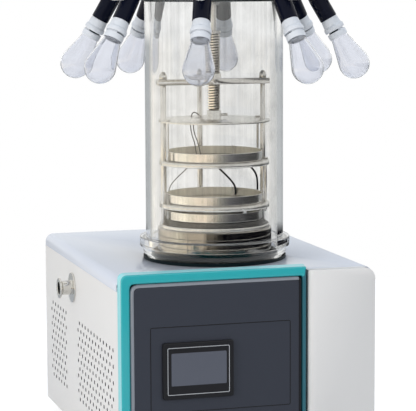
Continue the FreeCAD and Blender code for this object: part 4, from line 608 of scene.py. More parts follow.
def build_depth():
    """1 where the distance from the middle plane, or from an upright axis if Round is 1, is short of Face."""
    tree = depth_group
    link = tree.links.new
    given = depth_in.outputs
    split = node(tree, "ShaderNodeSeparateXYZ")
    link(node(tree, "ShaderNodeTexCoord").outputs["Object"], split.inputs[0])
    aside = calculate(tree, "from the axis", "SUBTRACT", split.outputs["Y"], given["Middle Y"])
    joined = node(tree, "ShaderNodeCombineXYZ")
    link(split.outputs["X"], joined.inputs["X"])
    link(calculate(tree, "only if round", "MULTIPLY", aside, given["Round"]), joined.inputs["Y"])
    length = node(tree, "ShaderNodeVectorMath", "distance", operation="LENGTH")
    link(joined.outputs[0], length.inputs[0])
    short = calculate(tree, "short of the face", "SUBTRACT", given["Face"], length.outputs["Value"])
    share = calculate(tree, "over the reach", "DIVIDE", short, given["Reach"], use_clamp=True)
    behind = calculate(tree, "behind the front edge", "GREATER_THAN", split.outputs["Y"], given["Front"])
    link(calculate(tree, "both", "MULTIPLY", share, behind), depth_out.inputs["Mask"])


build_depth()


def paint_shade(material, dark, **values):
    """Mixes a painted shade into a finish's colour where the depth mask says so."""
    tree = material.node_tree
    shader = tree.nodes["Principled BSDF"]
    before = shader.inputs["Base Color"].links[0].from_socket
    mask = use_group(tree, depth_group, **values)
    mix = node(tree, "ShaderNodeMix", "dark in the depth", data_type="RGBA")
    mix.inputs["B"].default_value = (*dark, 1.0)
    tree.links.new(mask.outputs["Mask"], mix.inputs["Factor"])
    tree.links.new(before, mix.inputs["A"])
    tree.links.new(mix.outputs["Result"], shader.inputs["Base Color"])
    return material


# Painted shade: the walls of the vent holes are painted dark.
drilled_panel = painted("drilled panel white", (0.875, 0.85, 0.815), 0.42, 0.10, 0.03)
panel_front = float(node_box("left_panel")[0][1])
paint_shade(drilled_panel, (0.012, 0.012, 0.014), Face=0.2399, Reach=0.00005, Front=(panel_front + 2.0) * MM)
# Painted shade and oil: the thread's root is painted dark, the crest left bright.
thread_steel = metal("thread steel", (0.84, 0.80, 0.74), 0.10, 900.0, 20.0, 0.01)
paint_shade(thread_steel, (0.05, 0.042, 0.034), Face=0.0103, Reach=0.0008, Middle_Y=AXIS_Y * MM, Round=1.0)

# %% [markdown]
# The chamber is acrylic and the flasks are glass. Both are modelled with both
# of their surfaces, so that light bends on the way in and out as it really
# does. A drawn tube also has faint streaks along its length, which the eye
# reads as plastic.

# %% Clear finishes
def clear(name, color, index, streaks=0.0, lines=0.0, through=1.0):
    """A clear body; streaks in its surface and lines in its colour run along Z, as a drawn tube's do."""
    material, tree, shader = new_material(name)
    shader.inputs["Roughness"].default_value = 0.0
    shader.inputs["IOR"].default_value = index
    shader.inputs["Transmission Weight"].default_value = through
    skin = use_group(tree, grain_group, Color=color, Across=170.0, Along=0.8, Depth=streaks, Stain=lines)
    wear_skin(tree, skin, shader, ("Color", "Normal"))
    return material


acrylic = clear("clear acrylic", (0.885, 0.888, 0.884), 1.49, 0.02, 0.38)
flask_glass = clear("flask glass", (0.905, 0.92, 0.965), 1.50, 0.03, 0.04, 0.93)
screen_glass = painted("display glass", (0.073, 0.080, 0.105), 0.22, 0.0, 0.05, coat=0.5)


# %% [markdown]
# A solid that is already right keeps its own mesh. It gets a finish, and
# modifiers that join its loose triangles and roll its edges slightly.

# %% Finish for the solids that stay
def dress(name, material, edge=0.5):
    """Finishes a solid: joined triangles, small rolled edges, even shading; an edge of 0 keeps its flat faces."""
    thing = nodes[name]
    thing.data.materials.clear()
    thing.data.materials.append(material)
    if edge == 0:
        return thing
    thing.data.shade_smooth()
    thing.modifiers.new("join", "WELD").merge_threshold = 0.00002
    bevel = thing.modifiers.new("rolled edges", "BEVEL")
    bevel.width = edge * MM
    bevel.segments = 2
    bevel.limit_method = "ANGLE"
    bevel.angle_limit = math.radians(38)
    bevel.harden_normals = True
    return thing


def mount(thing, material, body, slot, *replaced):
    """Finishes a new piece, lets it ride on its body and stand for its solids."""
    thing.data.materials.clear()
    thing.data.materials.append(material)
    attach(thing, body)
    if replaced:
        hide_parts(*replaced)
    return thing


def more_finishes(thing, numbers, *materials):
    """Adds finishes to a piece and gives each of its faces a finish by number."""
    for material in materials:
        thing.data.materials.append(material)
    thing.data.polygons.foreach_set("material_index", np.asarray(numbers, dtype=np.int32))


def face_middles(thing):
    """The middle of each face in millimetres, one row a face."""
    middles = np.empty(3 * len(thing.data.polygons))
    thing.data.polygons.foreach_get("center", middles)
    return middles.reshape(-1, 3) / MM


def front_piece(name, outline, profile, y, sharp=38.0, caps=(True, True)):
    """A piece whose profile rises forwards from a plane facing the front."""
    return piece(name, [carried(outline, profile, FRONT_AXES, np.array([0, y, 0]), caps)], sharp)


# %% [markdown]
# ## Cabinet
#
# The side panels are flat sheets with drilled vent grids, so their solids
# stay. The front is made of moulded and folded parts whose rolled edges catch
# the light, so the teal frame and fascia are carried profiles; the pillar and
# cover keep their solids, with rolled edges.

# %% Panels and chassis
dress("left_panel", drilled_panel, 0)
dress("right_panel", drilled_panel, 0)
dress("back_panel", white_panel, 0)
dress("top_cover", cover_white_and_cool_light, 0.5)
dress("front_pillar", white_pillar, 1.5)
dress("chassis_tray", chassis_grey, 0.4)
dress("control_box", chassis_grey, 1.0)
dress("trap_jacket", foam_cream, 2.0)
dress("compressor", black_shell, 1.0)
dress("condenser", fin_aluminium, 0.5)
dress("fan_shroud", black_shell, 0.5)
dress("fan_rotor", black_plastic, 0.4)
dress("refrigerant_lines", copper_bright, 0.2)
dress("power_inlet", black_plastic, 0.5)
dress("power_switch", black_plastic, 0.5)

# %% The teal frame
frame_low, frame_high = node_box("front_frame")
fascia_low, fascia_high = node_box("fascia_panel")
FASCIA_GAP = 0.3
FRAME_LEFT, FRAME_RIGHT = frame_low[0], frame_high[0]
window_low = fascia_low[[0, 2]] - FASCIA_GAP
window_high = fascia_high[[0, 2]] + FASCIA_GAP
FLARE = ((2.7, 0.0), (2.9, 0.3), (2.7, 2.0), (1.6, 6.0), (0.4, 10.5))
SIDE_ROWS = len(FLARE)


def frame_rows():
    """Rows round the frame: outer side, rolled front edges, inner side, back; each row is a rounded rectangle."""
    back, front = frame_high[1], frame_low[1]
    outer = (frame_low[[0, 2]], frame_high[[0, 2]])
    t = np.linspace(0, np.pi / 2, 5)
    rows = []
    outer_roll, inner_roll = 2.6, 4.4

    def row(low, high, grow, y, trims):
        """One rounded rectangle, grown by so much, in the upright plane at y."""
        flat = rectangle(low - grow, high + grow, trims, 8)
        rows.append(np.stack([flat[:, 0], np.full(len(flat), y), flat[:, 1]], axis=1))

    outer_trims = np.array([13.0, 3.0, 3.0, 13.0])
    inner_trims = np.array([9.0, 1.5, 1.5, 9.0])
    for flare, depth in FLARE:
        row(outer[0] - [flare, flare], outer[1] + [0.0, flare], 0.0, back - depth, outer_trims)
    for s in t:
        inset = outer_roll * (1 - math.cos(s))
        row(*outer, -inset, front + outer_roll * (1 - math.sin(s)), outer_trims)
    for s in t[::-1]:
        grow = inner_roll * (1 - math.cos(s))
        row(window_low, window_high, grow, front + inner_roll * (1 - math.sin(s)), inner_trims + grow * 0.5)
    row(window_low, window_high, 0.0, back - 0.3, inner_trims)
    row(window_low, window_high, 0.3, back, inner_trims)
    return np.array(rows)


rows = frame_rows()
index = np.arange(rows.shape[0] * rows.shape[1]).reshape(rows.shape[:2])
teal_frame = piece("teal_frame", [(rows, grid_faces(index, True, True))], sharp=50)
mount(teal_frame, teal, "cabinet", "frame_paint", "front_frame")
finish_numbers = np.zeros(len(teal_frame.data.polygons))
# The outer side rows carry the painted highlight.
finish_numbers[: SIDE_ROWS * rows.shape[1]] = 1
middles = face_middles(teal_frame)
# The front of the right bar carries the painted shade.
finish_numbers[(middles[:, 0] > window_high[0] - 0.5) & (middles[:, 2] < window_high[1] - 1.0)] = 2
more_finishes(teal_frame, finish_numbers, painted_highlight_teal, painted_shade_teal)
print("teal frame", rows.shape)

# %% The fascia, with a grey trim that is a painted reflection of its rolled edge
fascia_front = fascia_low[1]
fascia_back = fascia_high[1]
TRIM = 6.4
fascia_outline = rectangle(fascia_low[[0, 2]] + TRIM, fascia_high[[0, 2]] - TRIM, [11.0, 4.4, 4.4, 11.0], 8)
fascia = front_piece("fascia", fascia_outline, edge_roll(1.2, fascia_back - fascia_front), fascia_back, 50)
mount(fascia, anthracite, "cabinet", "fascia_plastic", "fascia_panel")

edge_outline = rectangle(fascia_low[[0, 2]], fascia_high[[0, 2]], [17.0, 9.6, 9.6, 17.0], 10)
edge_profile = np.array([
    [0.3, 0.0], [0.0, 0.3], [0.0, 8.4], [0.4, 10.0], [1.5, 11.7], [3.0, 12.8], [4.6, 13.4], [5.8, 13.4],
    [6.2, 12.9], [6.3, 12.4], [6.3, 0.3], [6.0, 0.0],
])
fascia_edge = front_piece("fascia_edge", edge_outline, edge_profile, fascia_back, caps=(False, False))
mount(fascia_edge, trim_painted_reflection, "cabinet", "fascia_plastic")
# The trim's right side is painted black, as shade.
more_finishes(fascia_edge, face_middles(fascia_edge)[:, 0] > fascia_high[0] - 6.5, bezel_black)

# %% The screen
screen_low, screen_high = node_box("screen_housing")
glass_low, glass_high = node_box("screen_glass")
screen_front, screen_back = screen_low[1], fascia_front + 2.0
housing = front_piece(
    "screen_bezel", rectangle(screen_low[[0, 2]], screen_high[[0, 2]], 4.5, 6),
    edge_roll(1.6, screen_back - screen_front), screen_back, 50,
)
mount(housing, bezel_black, "cabinet", "screen_plastic", "screen_housing")


outline_width, outline_proud = 1.1, 0.25
outline_profile = [[0.0, 0.0], [0.0, outline_proud], [outline_width, outline_proud], [outline_width, 0.0]]
screen_outline = front_piece(
    "screen_outline", rectangle(glass_low[[0, 2]] + 0.1, glass_high[[0, 2]] - 0.1, 3.0, 6), outline_profile,
    screen_front, caps=(False, False),
)
mount(screen_outline, outline_silver, "cabinet", "screen_plastic")
display_low = screen_low[[0, 2]] + [15.0, 24.8]
display_high = screen_high[[0, 2]] - [13.5, 18.6]
display = front_piece(
    "display", rectangle(display_low, display_high, 2.0, 4), [[0.0, 0.0], [0.0, 0.12], [0.15, 0.2]], screen_front,
)
mount(display, screen_glass, "cabinet", "screen_glass", "screen_glass")

# %% The bare outline on the fascia, a black line for the painted shade of a groove
LABEL_LINE = 1.5
label_low = np.array([FRAME_LEFT + 53.5, SEAL - 247.0]) - LABEL_LINE
label_high = np.array([FRAME_RIGHT - 32.5, SEAL - 93.7]) + LABEL_LINE
label_profile = [[0.0, 0.0], [0.0, 0.2], [0.1, 0.3], [1.4, 0.3], [LABEL_LINE, 0.2], [LABEL_LINE, 0.0]]
# Painted shadow: the black line stands for the shade in a groove round the label.
label = front_piece(
    "label_painted_shadow_line", rectangle(label_low, label_high, 4.0, 6), label_profile, fascia_front, caps=(False, False),
)
mount(label, bezel_black, "cabinet", "fascia_plastic")

# %% Feet
foot_low, foot_high = node_box("feet")
FOOT_RADIUS, FOOT_HEIGHT = 19.0, 25.0
foot_outline = rounded([
    [0, 0], [13.0, 0], [15.8, 0.0], [18.6, 22.0], [18.9, FOOT_HEIGHT], [0, FOOT_HEIGHT],
], [0, 0.3, 1.6, 2.0, 0.3, 0], closed=False)
foot_points, foot_quads = turned(foot_outline, 48)
feet = piece("rubber_feet", [
    (moved(foot_points, at(x, y, 0)), foot_quads)
    for x in (foot_low[0] + FOOT_RADIUS, foot_high[0] - FOOT_RADIUS)
    for y in (foot_low[1] + FOOT_RADIUS, foot_high[1] - FOOT_RADIUS)
])
mount(feet, foot_rubber, "cabinet", "foot_rubber", "feet")

# %% [markdown]
# The base gasket is an angle in section: a flange under the chamber's foot and
# a lip inside it. The outer part of the flange rises as a wedge, because the
# foot of the acrylic tapers there. The top gasket is a plain flat ring.

# %% Gaskets
base_gasket_outline = rounded([
    [109.6, -3.6], [135.2, -3.6], [135.0, 2.6], [131.0, -0.1], [119.3, -0.1], [118.8, 14.0], [112.5, 14.0],
    [109.6, 9.0],
], [0.9, 0.9, 0.9, 0.6, 0.3, 1.2, 1.2, 0.9])
gasket = piece("seal_ring", [turned(base_gasket_outline, 160, on_axis(SEAL))])
mount(gasket, gasket_rubber, "cabinet", "gasket_rubber", "base_gasket")

TOP_GASKET = 3.0
top_gasket_outline = rounded([[118.6, 0], [131.4, 0], [131.4, TOP_GASKET], [118.6, TOP_GASKET]], 0.8)
lid_gasket = piece("lid_seal_ring", [turned(top_gasket_outline, 160, on_axis(TUBE_TOP))])
mount(lid_gasket, gasket_rubber, "cabinet", "gasket_rubber", "top_gasket")

# %% [markdown]
# The vacuum port is a turned quick-release flange: a wall plate, a short
# tube and a conical flange with a flat sealing face.

# %% Vacuum port
port_low, port_high = node_box("vacuum_port")
PORT_Y, PORT_Z = (port_low[1] + port_high[1]) / 2, (port_low[2] + port_high[2]) / 2
PORT_REACH = 28.0
port_outline = rounded([
    [0, -14], [14, -14], [14, 0], [29.5, 0], [29.5, 3], [14, 3], [14, 22], [20, 25], [20, PORT_REACH],
    [12.5, PORT_REACH], [12.5, -11], [0, -11],
], [0, 0.4, 0.1, 0.3, 1.2, 1.6, 1.8, 0.5, 0.6, 1.0, 0.6, 0], closed=False)
wall_x = port_low[0] + PORT_REACH
leftward_axes = [[0, 0, 1], [0, 1, 0], [-1, 0, 0]]
port = piece("vacuum_flange", [turned(port_outline, 96, at(wall_x, PORT_Y, PORT_Z, leftward_axes))])
mount(port, bright_steel, "cabinet", "chrome", "vacuum_port")
print("vacuum port at", wall_x, PORT_Y, PORT_Z)

# %% [markdown]
# ## Chamber
#
# The chamber is a drawn acrylic tube with a stepped ring glued round its foot,
# which tapers over the gasket's wedge. It is one closed surface: round the
# foot, up the outside and back down the inside.

# %% Chamber tube
height = TUBE_TOP - SEAL
tube_outline = rounded([
    [120, 0], [129.5, 0], [136, 9], [136, 20], [142, 20], [142, 38], [130, 38], [130, height], [120, height],
], [0.5, 1.2, 3.0, 0.8, 1.5, 1.5, 1.2, 0.7, 0.7])
tube = piece("acrylic_chamber", [turned(tube_outline, 288, on_axis(SEAL))])
mount(tube, acrylic, "cabinet", "acrylic", "chamber_tube")

# %% Cold trap
trap_low, trap_high = node_box("cold_trap")
TRAP_BOTTOM, COLLAR_TOP = trap_low[2], trap_high[2]
trap_height = COLLAR_TOP - TRAP_BOTTOM
trap_outline = rounded([
    [0, 0], [108, 0], [108, trap_height], [101, trap_height], [101, trap_height - 5], [105.5, trap_height - 5],
    [105.5, 2.5], [0, 2.5],
], [0, 8.0, 1.5, 0.8, 0.8, 0.8, 6.0, 0], closed=False)
NOZZLE_TURN = math.radians(120)
nozzle_way = np.array([math.cos(NOZZLE_TURN), math.sin(NOZZLE_TURN), 0])
trap_middle = np.array([0, AXIS_Y, PORT_Z])
nozzle_corner = trap_middle + nozzle_way * ((PORT_Y - AXIS_Y) / nozzle_way[1])
nozzle_start = trap_middle + nozzle_way * 106.0
nozzle_end = np.array([wall_x + 14.2, PORT_Y, PORT_Z])
nozzle_path = smooth_bend([nozzle_start, nozzle_corner, nozzle_end], 22.0, 12)
vessel = piece("trap_vessel", [turned(trap_outline, 192, on_axis(TRAP_BOTTOM)), swept(nozzle_path, 13.9, 32)])
mount(vessel, trap_steel, "cabinet", "trap_steel", "cold_trap")

# %% [markdown]
# ## Rack
#
# The rack stands on the trap's collar: a base plate, three posts, a top bar,
# and two hanging shelves with sample trays. The press plate rides on the end
# of a screw. Plates with notches and holes keep their solids. A tray is spun
# sheet: bright outside, and duller inside, where its brighter, warmer colour is
# a painted reflection; the upper two have a folded clip at the back.

# %% Plates, bar and rods
base_low, base_high = node_box("rack_base")
# Painted shadow: the base plate is painted dark on top, under the lowest tray, inside its bright rim.
base_steel = metal("base plate steel", (0.76, 0.745, 0.715), 0.26, 220.0, 220.0, 0.0, 0.03)
BRIGHT_RIM = 1.2
shadow_radius = (base_high[0] - base_low[0]) / 2 - BRIGHT_RIM
paint_shade(base_steel, (0.09, 0.088, 0.085), Face=shadow_radius * MM, Reach=0.001, Middle_Y=AXIS_Y * MM, Round=1.0)
dress("rack_base", base_steel, 0.6)
dress("shelf_1", plate_steel, 0.7)
dress("shelf_2", plate_steel, 0.7)
dress("press_plate", plate_steel, 0.5)
dress("top_bar", rack_steel, 0.8)
dress("hanger_rods_upper", rod_steel, 0.3)
dress("hanger_rods_lower", rod_steel, 0.3)
dress("rack_posts", rod_steel, 0.4)
dress("acorn_nuts", bright_steel, 0.4)

# %% Sample trays
def tray_shell(floor):
    """A spun tray: rolled foot, straight wall and a rolled rim."""
    outline = rounded([
        [0, 0], [88.5, 0], [91, 1.5], [91, 17.7], [89.5, 17.7], [89.5, 3.0], [87.5, 1.5], [0, 1.5],
    ], [0, 1.0, 1.0, 0.7, 0.7, 1.0, 1.0, 0], closed=False)
    return turned(outline, 192, on_axis(floor))


def clip_shell(floor):
    """The folded sensor clip on the back of a tray's wall."""
    c, s = math.cos(math.radians(48)), math.sin(math.radians(48))
    points, quads = block([86.9, -3.5, 1.6], [89.6, 3.5, 18.6], 0.4)
    place = at(0, AXIS_Y, floor, [[c, s, 0], [-s, c, 0], [0, 0, 1]])
    return moved(points, place), quads


def inside_faces(tray, floor, spun):
    """1 for each spun face of the inner wall and floor: above the floor and short of the rim's middle."""
    x, y, z = face_middles(tray).T
    inside = (np.hypot(x, y - AXIS_Y) < 90.1) & (z > floor + 1.1)
    inside[spun:] = False
    return inside


for title, body, clipped in (
    ("tray_1", "press_carriage", True), ("tray_2", "cabinet", True), ("tray_3", "cabinet", False),
):
    tray_floor = node_box(title)[0][2]
    shells = [tray_shell(tray_floor)] + ([clip_shell(tray_floor)] if clipped else [])
    tray = piece("sample_" + title, shells)
    mount(tray, tray_steel, body, "rack_steel", title)
    more_finishes(tray, inside_faces(tray, tray_floor, len(shells[0][1])), tray_inside_painted_reflection)
    print(title, "floor at", round(tray_floor, 2))

# %% [markdown]
# The press screw has a right-hand trapezoidal thread of 5 mm pitch, 23.8 mm
# across its broad crests. The surface is a helix: its radius depends only on
# height less the turn so far.

# %% Press screw
screw_low, screw_high = node_box("press_screw")
SCREW_Z = node_box("press_plate")[1][2]
PITCH, CREST_RADIUS, THREAD_DEPTH = 5.0, 11.9, 2.6
CREST_SHARE, FLANK_SHARE = 0.62, 0.20


def thread_shell(low, high):
    """Radius by phase = z / pitch - a / 2 pi: broad crest, slope, narrow root, slope; both ends fade to the root."""
    per_turn, segments = 20, 64
    count = int((high - low) / PITCH * per_turn)
    z = np.linspace(low, high, count)
    angle = np.linspace(0, 2 * np.pi, segments, endpoint=False)
    phase = (z[:, None] / PITCH - angle[None] / (2 * np.pi)) % 1.0
    ramp = np.clip((np.abs(phase - 0.5) * 2 - CREST_SHARE) / FLANK_SHARE, 0, 1)
    fade = np.clip(np.minimum(z - low, high - z) / 2.0, 0, 1)[:, None]
    radius = CREST_RADIUS - THREAD_DEPTH * (1 - (1 - ramp) * fade)
    points = np.stack([radius * np.cos(angle), radius * np.sin(angle), z[:, None] + 0 * radius], axis=-1)
    index = np.arange(points.shape[0] * segments).reshape(-1, segments)
    total = index.size
    index = np.concatenate([np.full((1, segments), total), index, np.full((1, segments), total + 1)])
    ends = np.array([[0, 0, low], [0, 0, high]])
    points = np.concatenate([points.reshape(-1, 3), ends])
    return points, grid_faces(index, False, True)


THREAD_LENGTH = 143.0
thread_top = SCREW_Z + THREAD_LENGTH
spindle_outline = rounded([
    [0, screw_low[2]], [7.5, screw_low[2]], [7.5, SCREW_Z + 0.4], [0, SCREW_Z + 0.4],
], [0, 0.5, 0.3, 0], closed=False)
collar_outline = rounded([
    [0, thread_top], [13, thread_top], [13, thread_top + 6], [5, thread_top + 6], [5, screw_high[2]],
    [0, screw_high[2]],
], [0, 0.8, 0.8, 1.0, 0.6, 0], closed=False)
thread_points, thread_quads = thread_shell(SCREW_Z + 0.3, thread_top)
screw = piece("screw_and_spindle", [
    (moved(thread_points, on_axis()), thread_quads),
    turned(spindle_outline, 48, on_axis()),
    turned(collar_outline, 64, on_axis()),
], sharp=30)
mount(screw, thread_steel, "press_screw_body", "screw_steel", "press_screw")
more_finishes(screw, np.arange(len(screw.data.polygons)) >= len(thread_quads), rod_steel)

# %% Press handle
handle_low, handle_high = node_box("press_handle")
handle_mid = (handle_low[2] + handle_high[2]) / 2
hub_outline = rounded([[5.0, -12], [13, -12], [13, 12], [5.0, 12]], [0.4, 1.5, 1.5, 0.4])
half = (handle_high[0] - handle_low[0]) / 2
BALL = 10.0
ball = np.linspace(-np.pi / 2, np.pi / 2, 15)
ball_outline = np.stack([BALL * np.cos(ball), BALL * np.sin(ball)], axis=1)
lever_outline = rounded([[0, -half + 8], [5.5, -half + 8], [5.5, half - 8], [0, half - 8]], 0.4, closed=False)
rightward_axes = [[0, 1, 0], [0, 0, 1], [1, 0, 0]]
handle = piece("turning_handle", [
    turned(hub_outline, 64, on_axis(handle_mid)),
    turned(lever_outline, 32, at(0, AXIS_Y, handle_mid, rightward_axes)),
    turned(ball_outline, 32, at(half - BALL, AXIS_Y, handle_mid, rightward_axes)),
    turned(ball_outline, 32, at(-half + BALL, AXIS_Y, handle_mid, rightward_axes)),
])
mount(handle, bright_steel, "press_screw_body", "chrome", "press_handle")

# %% [markdown]
# ## Manifold, valves and flasks
#
# A turned steel drum closes the chamber. Eight nipples leave it, each with a
# rubber valve, a knob, a cap and a flask. All eight are the same parts turned
# round the axis by an eighth.

# %% Manifold drum
MANIFOLD_Z = TUBE_TOP + TOP_GASKET
PORT_RISE = 20.0
PORT_AXIS_Z = TUBE_TOP + PORT_RISE
drum_outline = rounded([
    [118, 0], [140, 0], [140, 8], [134, 8], [134, 58], [14, 58], [14, 83], [5.05, 83], [5.05, -10],
    [10.5, -10], [10.5, 53], [129, 53], [129, 8], [118, 8],
], [0.5, 1.2, 1.2, 1.5, 3.0, 1.5, 1.5, 0.5, 0.5, 0.8, 1.0, 1.5, 0.5, 0.5])
nipple_outline = rounded([
    [8, 131.5], [11, 131.5], [11, 176], [8, 176],
], [0.2, 0.2, 1.0, 0.8])
port_axis = at(0, 0, PORT_AXIS_Z, rightward_axes)
port_angles = [(n + 0.5) * 360.0 / PORTS for n in range(PORTS)]


def at_ports(*shells):
    """The same shells at each of the eight ports."""
    return [(moved(points, around(angle)), quads) for angle in port_angles for points, quads in shells]


nipple = turned(nipple_outline, 48, port_axis)
weld_outline = rounded([[10.8, 133.6], [13.2, 133.6], [12.2, 135.2], [10.8, 136.2]], 0.6)
weld = turned(weld_outline, 48, port_axis)
drum = piece("manifold_drum", [turned(drum_outline, 224, on_axis(MANIFOLD_Z))] + at_ports(nipple, weld))
mount(drum, drum_steel, "cabinet", "manifold_steel", "manifold_head")

# %% Rubber valve bodies
SLEEVE_START, SLEEVE_END, ELBOW = 144.0, 207.0, 184.6
ARM_TILT = math.radians(30)
arm_outline = rounded([
    [0, 2.0], [14.5, 2.0], [16.5, 16], [16.5, 62], [9.6, 62], [9.6, 42], [0, 42],
], [0, 5.0, 8.0, 1.2, 0.6, 0.2, 0], closed=False)
arm_axes = [
    [math.cos(ARM_TILT), 0, math.sin(ARM_TILT)], [0, -1, 0], [math.sin(ARM_TILT), 0, -math.cos(ARM_TILT)],
]
arm_place = at(ELBOW, 0, PORT_AXIS_Z, arm_axes)
sleeve_outline = rounded([
    [0, SLEEVE_START + 34], [11.1, SLEEVE_START + 34], [11.1, SLEEVE_START], [17, SLEEVE_START],
    [17, SLEEVE_END], [7.6, SLEEVE_END], [7.6, SLEEVE_END - 12], [0, SLEEVE_END - 12],
], [0, 0.2, 0.8, 2.0, 2.5, 0.6, 0.2, 0], closed=False)
sleeve = turned(sleeve_outline, 64, port_axis)
arm = turned(arm_outline, 64, arm_place)
valves = piece("rubber_valves", at_ports(sleeve, arm))
mount(valves, hose_rubber, "cabinet", "valve_rubber", "valve_bodies")

# %% Valve knobs
def fluted(radius, z, angle):
    """Eight shallow flutes run along the outer wall of a knob."""
    grip = np.clip((z - SLEEVE_END - 8) / 3, 0, 1) * np.clip((SLEEVE_END + 26.5 - z) / 2, 0, 1)
    outer = np.clip((radius - 14.0) / 2.0, 0, 1)
    dip = np.clip((np.cos(8 * angle) - 0.55) / 0.45, 0, 1) ** 0.7
    return radius - 2.0 * grip * outer * dip


knob_outline = rounded([
    [0, SLEEVE_END - 11.5], [7.5, SLEEVE_END - 11.5], [7.5, SLEEVE_END + 0.3], [15.5, SLEEVE_END + 0.3],
    [17, SLEEVE_END + 5], [17, SLEEVE_END + 8], [17, SLEEVE_END + 12], [17, SLEEVE_END + 22],
    [16.5, SLEEVE_END + 26.3], [10, SLEEVE_END + 26.3], [9, SLEEVE_END + 24.8], [0, SLEEVE_END + 24.8],
], [0, 0.5, 0.2, 1.0, 1.0, 0.5, 0.5, 2.0, 1.5, 0.8, 0.8, 0], closed=False)
knob_points, knob_quads = turned(knob_outline, 128, port_axis, fluted)
for number, angle in enumerate(port_angles, start=1):
    knob = piece(f"knob_{number}", [(moved(knob_points, around(angle)), knob_quads)])
    mount(knob, knob_white, f"valve_knob_{number}_body", "knob_plastic", f"valve_knob_{number}")

# %% Flask caps
def ribbed(radius, z, angle):
    """Fine grip ribs on the upper collar, and a seam below the flange that gapes on the inner side."""
    zone = np.clip((z - 64) / 2, 0, 1) * np.clip((76 - z) / 2, 0, 1) * np.clip((radius - 13.5) / 1.0, 0, 1)
    seam = np.clip((z - 86.4) / 0.2, 0, 1) * np.clip((89.4 - z) / 0.2, 0, 1) * np.clip(14.6 - radius, 0, 1)
    inner_side = 0.5 - 0.5 * np.cos(angle)
    return radius - 0.5 * zone * (0.5 + 0.5 * np.cos(36 * angle)) + seam * (1.5 - 5.0 * inner_side)


cap_outline = rounded([
    [7, 42], [9.5, 42], [9.5, 62], [15.4, 62], [16.2, 66], [17.0, 76], [19.2, 79], [19.4, 84], [18.6, 86.4],
    [13.5, 86.6], [13.5, 89.0], [17.7, 89.4], [17.9, 93], [17.7, 100.6], [16.4, 100.6], [16.4, 95.9], [7, 95.9],
], 0.6, 3)
cap = turned(cap_outline, 144, arm_place, ribbed)
caps = piece("flask_caps_white", at_ports(cap), sharp=45)
mount(caps, cap_white, "cabinet", "cap_plastic", "flask_caps")

washer_outline = rounded([[8.0, 86.8], [13.6, 86.8], [13.6, 89.2], [8.0, 89.2]], 0.3)
washer = turned(washer_outline, 64, arm_place)
washers = piece("cap_washers", at_ports(washer))
mount(washers, gasket_rubber, "cabinet", "valve_rubber")

# %% [markdown]
# Each flask is a pear: a short straight neck inside the cap, a flank tangent
# to the bulb, and the bulb itself. The wall is two such pears joined by a
# rolled rim at the mouth.

# %% Flasks
def pear(neck, bulb, shoulder, centre, steps=40):
    """The flank leaves the neck at the shoulder and meets the bulb's circle as its tangent."""
    rise = centre - shoulder
    distance = math.hypot(neck, rise)
    touch = math.acos(bulb / distance) + math.atan2(neck, rise) - math.pi / 2
    turn = np.linspace(touch, math.pi / 2, steps)
    arc = np.stack([bulb * np.cos(turn), centre + bulb * np.sin(turn)], axis=1)
    arc[-1, 0] = 0
    start = np.array([neck, shoulder])
    share = np.linspace(0, 1, 14)[1:-1, None]
    flank = start + (arc[0] - start) * share
    return np.concatenate([flank, arc])


MOUTH, SHOULDER, BULB = 97.0, 102.0, 157.0
NECK_OUT, NECK_IN, BULB_OUT, BULB_IN = 16.2, 14.8, 29.0, 27.6
outer = pear(NECK_OUT, BULB_OUT, SHOULDER, BULB)
inner = pear(NECK_IN, BULB_IN, SHOULDER, BULB)
rim = rounded([[NECK_IN, SHOULDER], [NECK_IN, MOUTH], [NECK_OUT, MOUTH], [NECK_OUT, SHOULDER]], 0.6, closed=False)
flask_outline = np.concatenate([inner[::-1], rim, outer])
flask_points, flask_quads = turned(flask_outline, 96, arm_place)
for number, angle in enumerate(port_angles, start=1):
    flask = piece(f"glass_flask_{number}", [(moved(flask_points, around(angle)), flask_quads)], weighted=False)
    mount(flask, flask_glass, "cabinet", "flask_glass", f"flask_{number}")

# %% [markdown]
# ## Sensor leads
#
# Temperature leads run from the press plate and from the shelf down into the
# trays. A lead is soft, so it takes an even curve between the points where it
# is held. A NURBS curve through control points gives that curve, and a thin
# tube follows it.

# %% Leads
LEAD_UPPER = [
    [[-8, 74, 636.1], [-15, 75, 643.1], [-23, 77, 640.1], [-25, 78, 615.23], [-22, 79, 598.76],
     [-15, 80, 581.19], [-12, 81, 560.5]],
    [[-19, 79, 634.1], [-19, 79, 614.13], [-16, 78, 597.66], [-8, 79, 581.19], [-4, 80, 560.5]],
]
LEAD_BLACK = [
    [[3, 12, 548.5], [12, 16, 541], [46, 38, 512.5], [63, 61, 495], [62, 63, 481.8]],
    [[70, 23, 548.9], [80, 21, 540], [93, 21, 524], [95, 21.3, 501.5], [94, 21.5, 477.8]],
]
LEAD_GREY = [[[-36, 30, 549.2], [-44, 36, 538], [-62, 46, 520], [-76.86, 55.84, 499.5], [-76.86, 55.84, 477.8]]]


def lead(name, corners, radius, material):
    """A tube round a quadratic NURBS curve on those control points."""
    corners = (np.asarray(corners, float) + AXIS) * MM
    line = bpy.data.curves.new(name + "_line", "CURVE")
    line.dimensions = "3D"
    spline = line.splines.new("NURBS")
    spline.points.add(len(corners) - 1)
    spline.points.foreach_set("co", np.column_stack([corners, np.ones(len(corners))]).ravel())
    spline.order_u = 3
    spline.use_endpoint_u = True
    spline.resolution_u = 16
    holder = bpy.data.objects.new(name + "_line", line)
    sampled = bpy.data.meshes.new_from_object(holder)
    path = np.empty(3 * len(sampled.vertices))
    sampled.vertices.foreach_get("co", path)
    path = path.reshape(-1, 3)
    for block_data, store in ((holder, bpy.data.objects), (line, bpy.data.curves), (sampled, bpy.data.meshes)):
        store.remove(block_data)
    tube = piece(name, [swept(path / MM, radius, 12)], weighted=False)
    tube.data.materials.append(material)
    return tube


